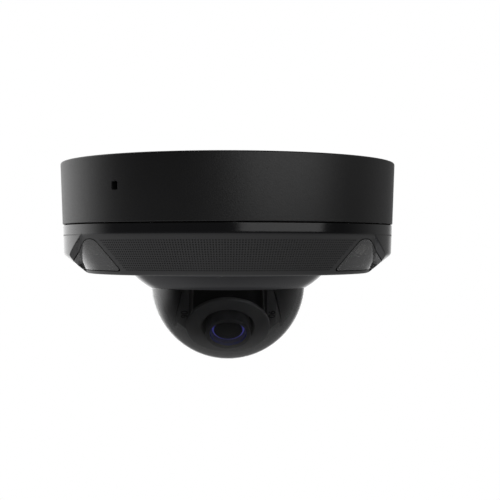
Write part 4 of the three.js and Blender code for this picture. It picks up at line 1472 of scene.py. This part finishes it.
def surroundings():
    """A white backdrop for the view, and for the light: a panel behind to the left, dim in front."""
    world = bpy.data.worlds.new("studio")
    bpy.context.scene.world = world
    world.use_nodes = True
    tree = world.node_tree
    nodes, links = tree.nodes, tree.links
    background = nodes["Background"]
    direction = nodes.new("ShaderNodeTexCoord")

    def towards(heading, start, end, dimmest, brightest):
        """A level that rises towards a heading."""
        along = nodes.new("ShaderNodeVectorMath")
        along.operation = "DOT_PRODUCT"
        along.inputs[1].default_value = heading
        links.new(direction.outputs["Generated"], along.inputs[0])
        level = nodes.new("ShaderNodeMapRange")
        level.interpolation_type = "SMOOTHSTEP"
        for key, value in zip(("From Min", "From Max", "To Min", "To Max"), (start, end, dimmest, brightest)):
            level.inputs[key].default_value = value
        links.new(along.outputs["Value"], level.inputs["Value"])
        return level.outputs["Result"]

    def either(factor, first, second):
        """The first level, or the number that stands second where the factor is one."""
        mix = nodes.new("ShaderNodeMix")
        mix.data_type = "FLOAT"
        links.new(factor, mix.inputs["Factor"])
        links.new(first, mix.inputs["A"])
        mix.inputs["B"].default_value = second
        return mix.outputs["Result"]

    beside = worked_out(
        tree, "MULTIPLY", towards((-0.5, 0.86, 0), 0.4, 0.93, 0, 1.15), towards((0, 0, 1), -0.45, -0.1, 0, 1)
    )
    behind = towards((0, 1, 0), -0.2, 0.6, 0.025, 0.22)
    below = towards((0, 0.1, -1), 0.7, 1.0, 0, 0.08)
    lit = worked_out(tree, "ADD", below, worked_out(tree, "ADD", beside, behind))
    seen = nodes.new("ShaderNodeLightPath")
    straight = worked_out(tree, "LESS_THAN", seen.outputs["Diffuse Depth"], 0.5)
    through = worked_out(tree, "MULTIPLY", straight, seen.outputs["Is Transmission Ray"])
    level = either(through, lit, BEHIND_CLEAR)
    level = either(seen.outputs["Is Camera Ray"], level, BACKDROP)
    background.inputs["Color"].default_value = (1, 1, 1, 1)
    links.new(level, background.inputs["Strength"])


def floor():
    """A pale floor well below the camera."""
    depth = settings("stage").floor
    corners = [(-1.0, 0.4), (1.0, 0.4), (1.0, 3.2), (-1.0, 3.2)]
    made = extruded("floor", corners, -depth - 0.02, -depth)
    made.data.materials.append(finish("pale_floor", (0.8, 0.8, 0.79), 0.7, 40.0, 0.0005, vary=0.02, blotch=2.0))
    made.visible_glossy = made.visible_transmission = False


def view():
    """The camera."""
    stage = settings("stage")
    lens = bpy.data.cameras.new("view")
    lens.sensor_width = 36
    lens.lens = stage.focal
    lens.clip_start, lens.clip_end = 0.01, 50
    made = bpy.data.objects.new("view", lens)
    made.location = (0, -stage.distance, -stage.eye)
    made.rotation_euler = (math.pi / 2 + stage.pitch, 0, stage.yaw)
    bpy.context.scene.collection.objects.link(made)
    bpy.context.scene.camera = made


class DOMECAMERA_OT_stage(Operator):
    """Makes the floor, the lights and the view"""

    bl_idname = "dome_camera.stage"
    bl_label = "Stage"

    def execute(self, context):
        middle_of_camera = Vector((0, 0, -30 * MM))
        view()
        surroundings()
        floor()
        panel_light("soft_box_right", 36, 17, 1.2, 1.38, 1.0, 5.2, middle_of_camera)
        panel_light("soft_box_below", -70, -74, 0.9, 0.35, 0.35, 15, middle_of_camera, False)
        context.scene.view_settings.view_transform = "Standard"
        return {"FINISHED"}


# ---------------------------------------------------------------- panel and running

GROUPS = {
    "housing": DomeCameraHousing,
    "cover": DomeCameraCover,
    "dome": DomeCameraDome,
    "lens": DomeCameraLens,
    "colours": DomeCameraColours,
    "stage": DomeCameraStage,
}
OPERATORS = (
    DOMECAMERA_OT_stage,
    DOMECAMERA_OT_housing,
    DOMECAMERA_OT_cover,
    DOMECAMERA_OT_dome,
    DOMECAMERA_OT_gimbal,
    DOMECAMERA_OT_lens,
    DOMECAMERA_OT_inside,
)


class DOMECAMERA_PT_panel(Panel):
    """Lists the pieces and their sizes in the sidebar"""

    bl_idname = "DOMECAMERA_PT_panel"
    bl_label = "Dome camera"
    bl_space_type = "VIEW_3D"
    bl_region_type = "UI"
    bl_category = "Dome camera"

    def draw(self, context):
        for operator in OPERATORS:
            self.layout.operator(operator.bl_idname)
        for name, group in GROUPS.items():
            box = self.layout.box()
            box.label(text=name.capitalize())
            for key in group.__annotations__:
                box.prop(getattr(context.scene, "dome_camera_" + name), key)


CLASSES = (*GROUPS.values(), *OPERATORS, DOMECAMERA_PT_panel)


def register():
    """Registers the settings, the operators and the panel."""
    for each in CLASSES:
        bpy.utils.register_class(each)
    for name, group in GROUPS.items():
        setattr(bpy.types.Scene, "dome_camera_" + name, PointerProperty(type=group))


def unregister():
    """Takes the settings, the operators and the panel away."""
    for name in GROUPS:
        delattr(bpy.types.Scene, "dome_camera_" + name)
    for each in reversed(CLASSES):
        bpy.utils.unregister_class(each)


def main():
    """Builds the scene."""
    register()
    for operator in OPERATORS:
        group, name = operator.bl_idname.split(".")
        getattr(getattr(bpy.ops, group), name)()


if __name__ == "__main__":
    main()
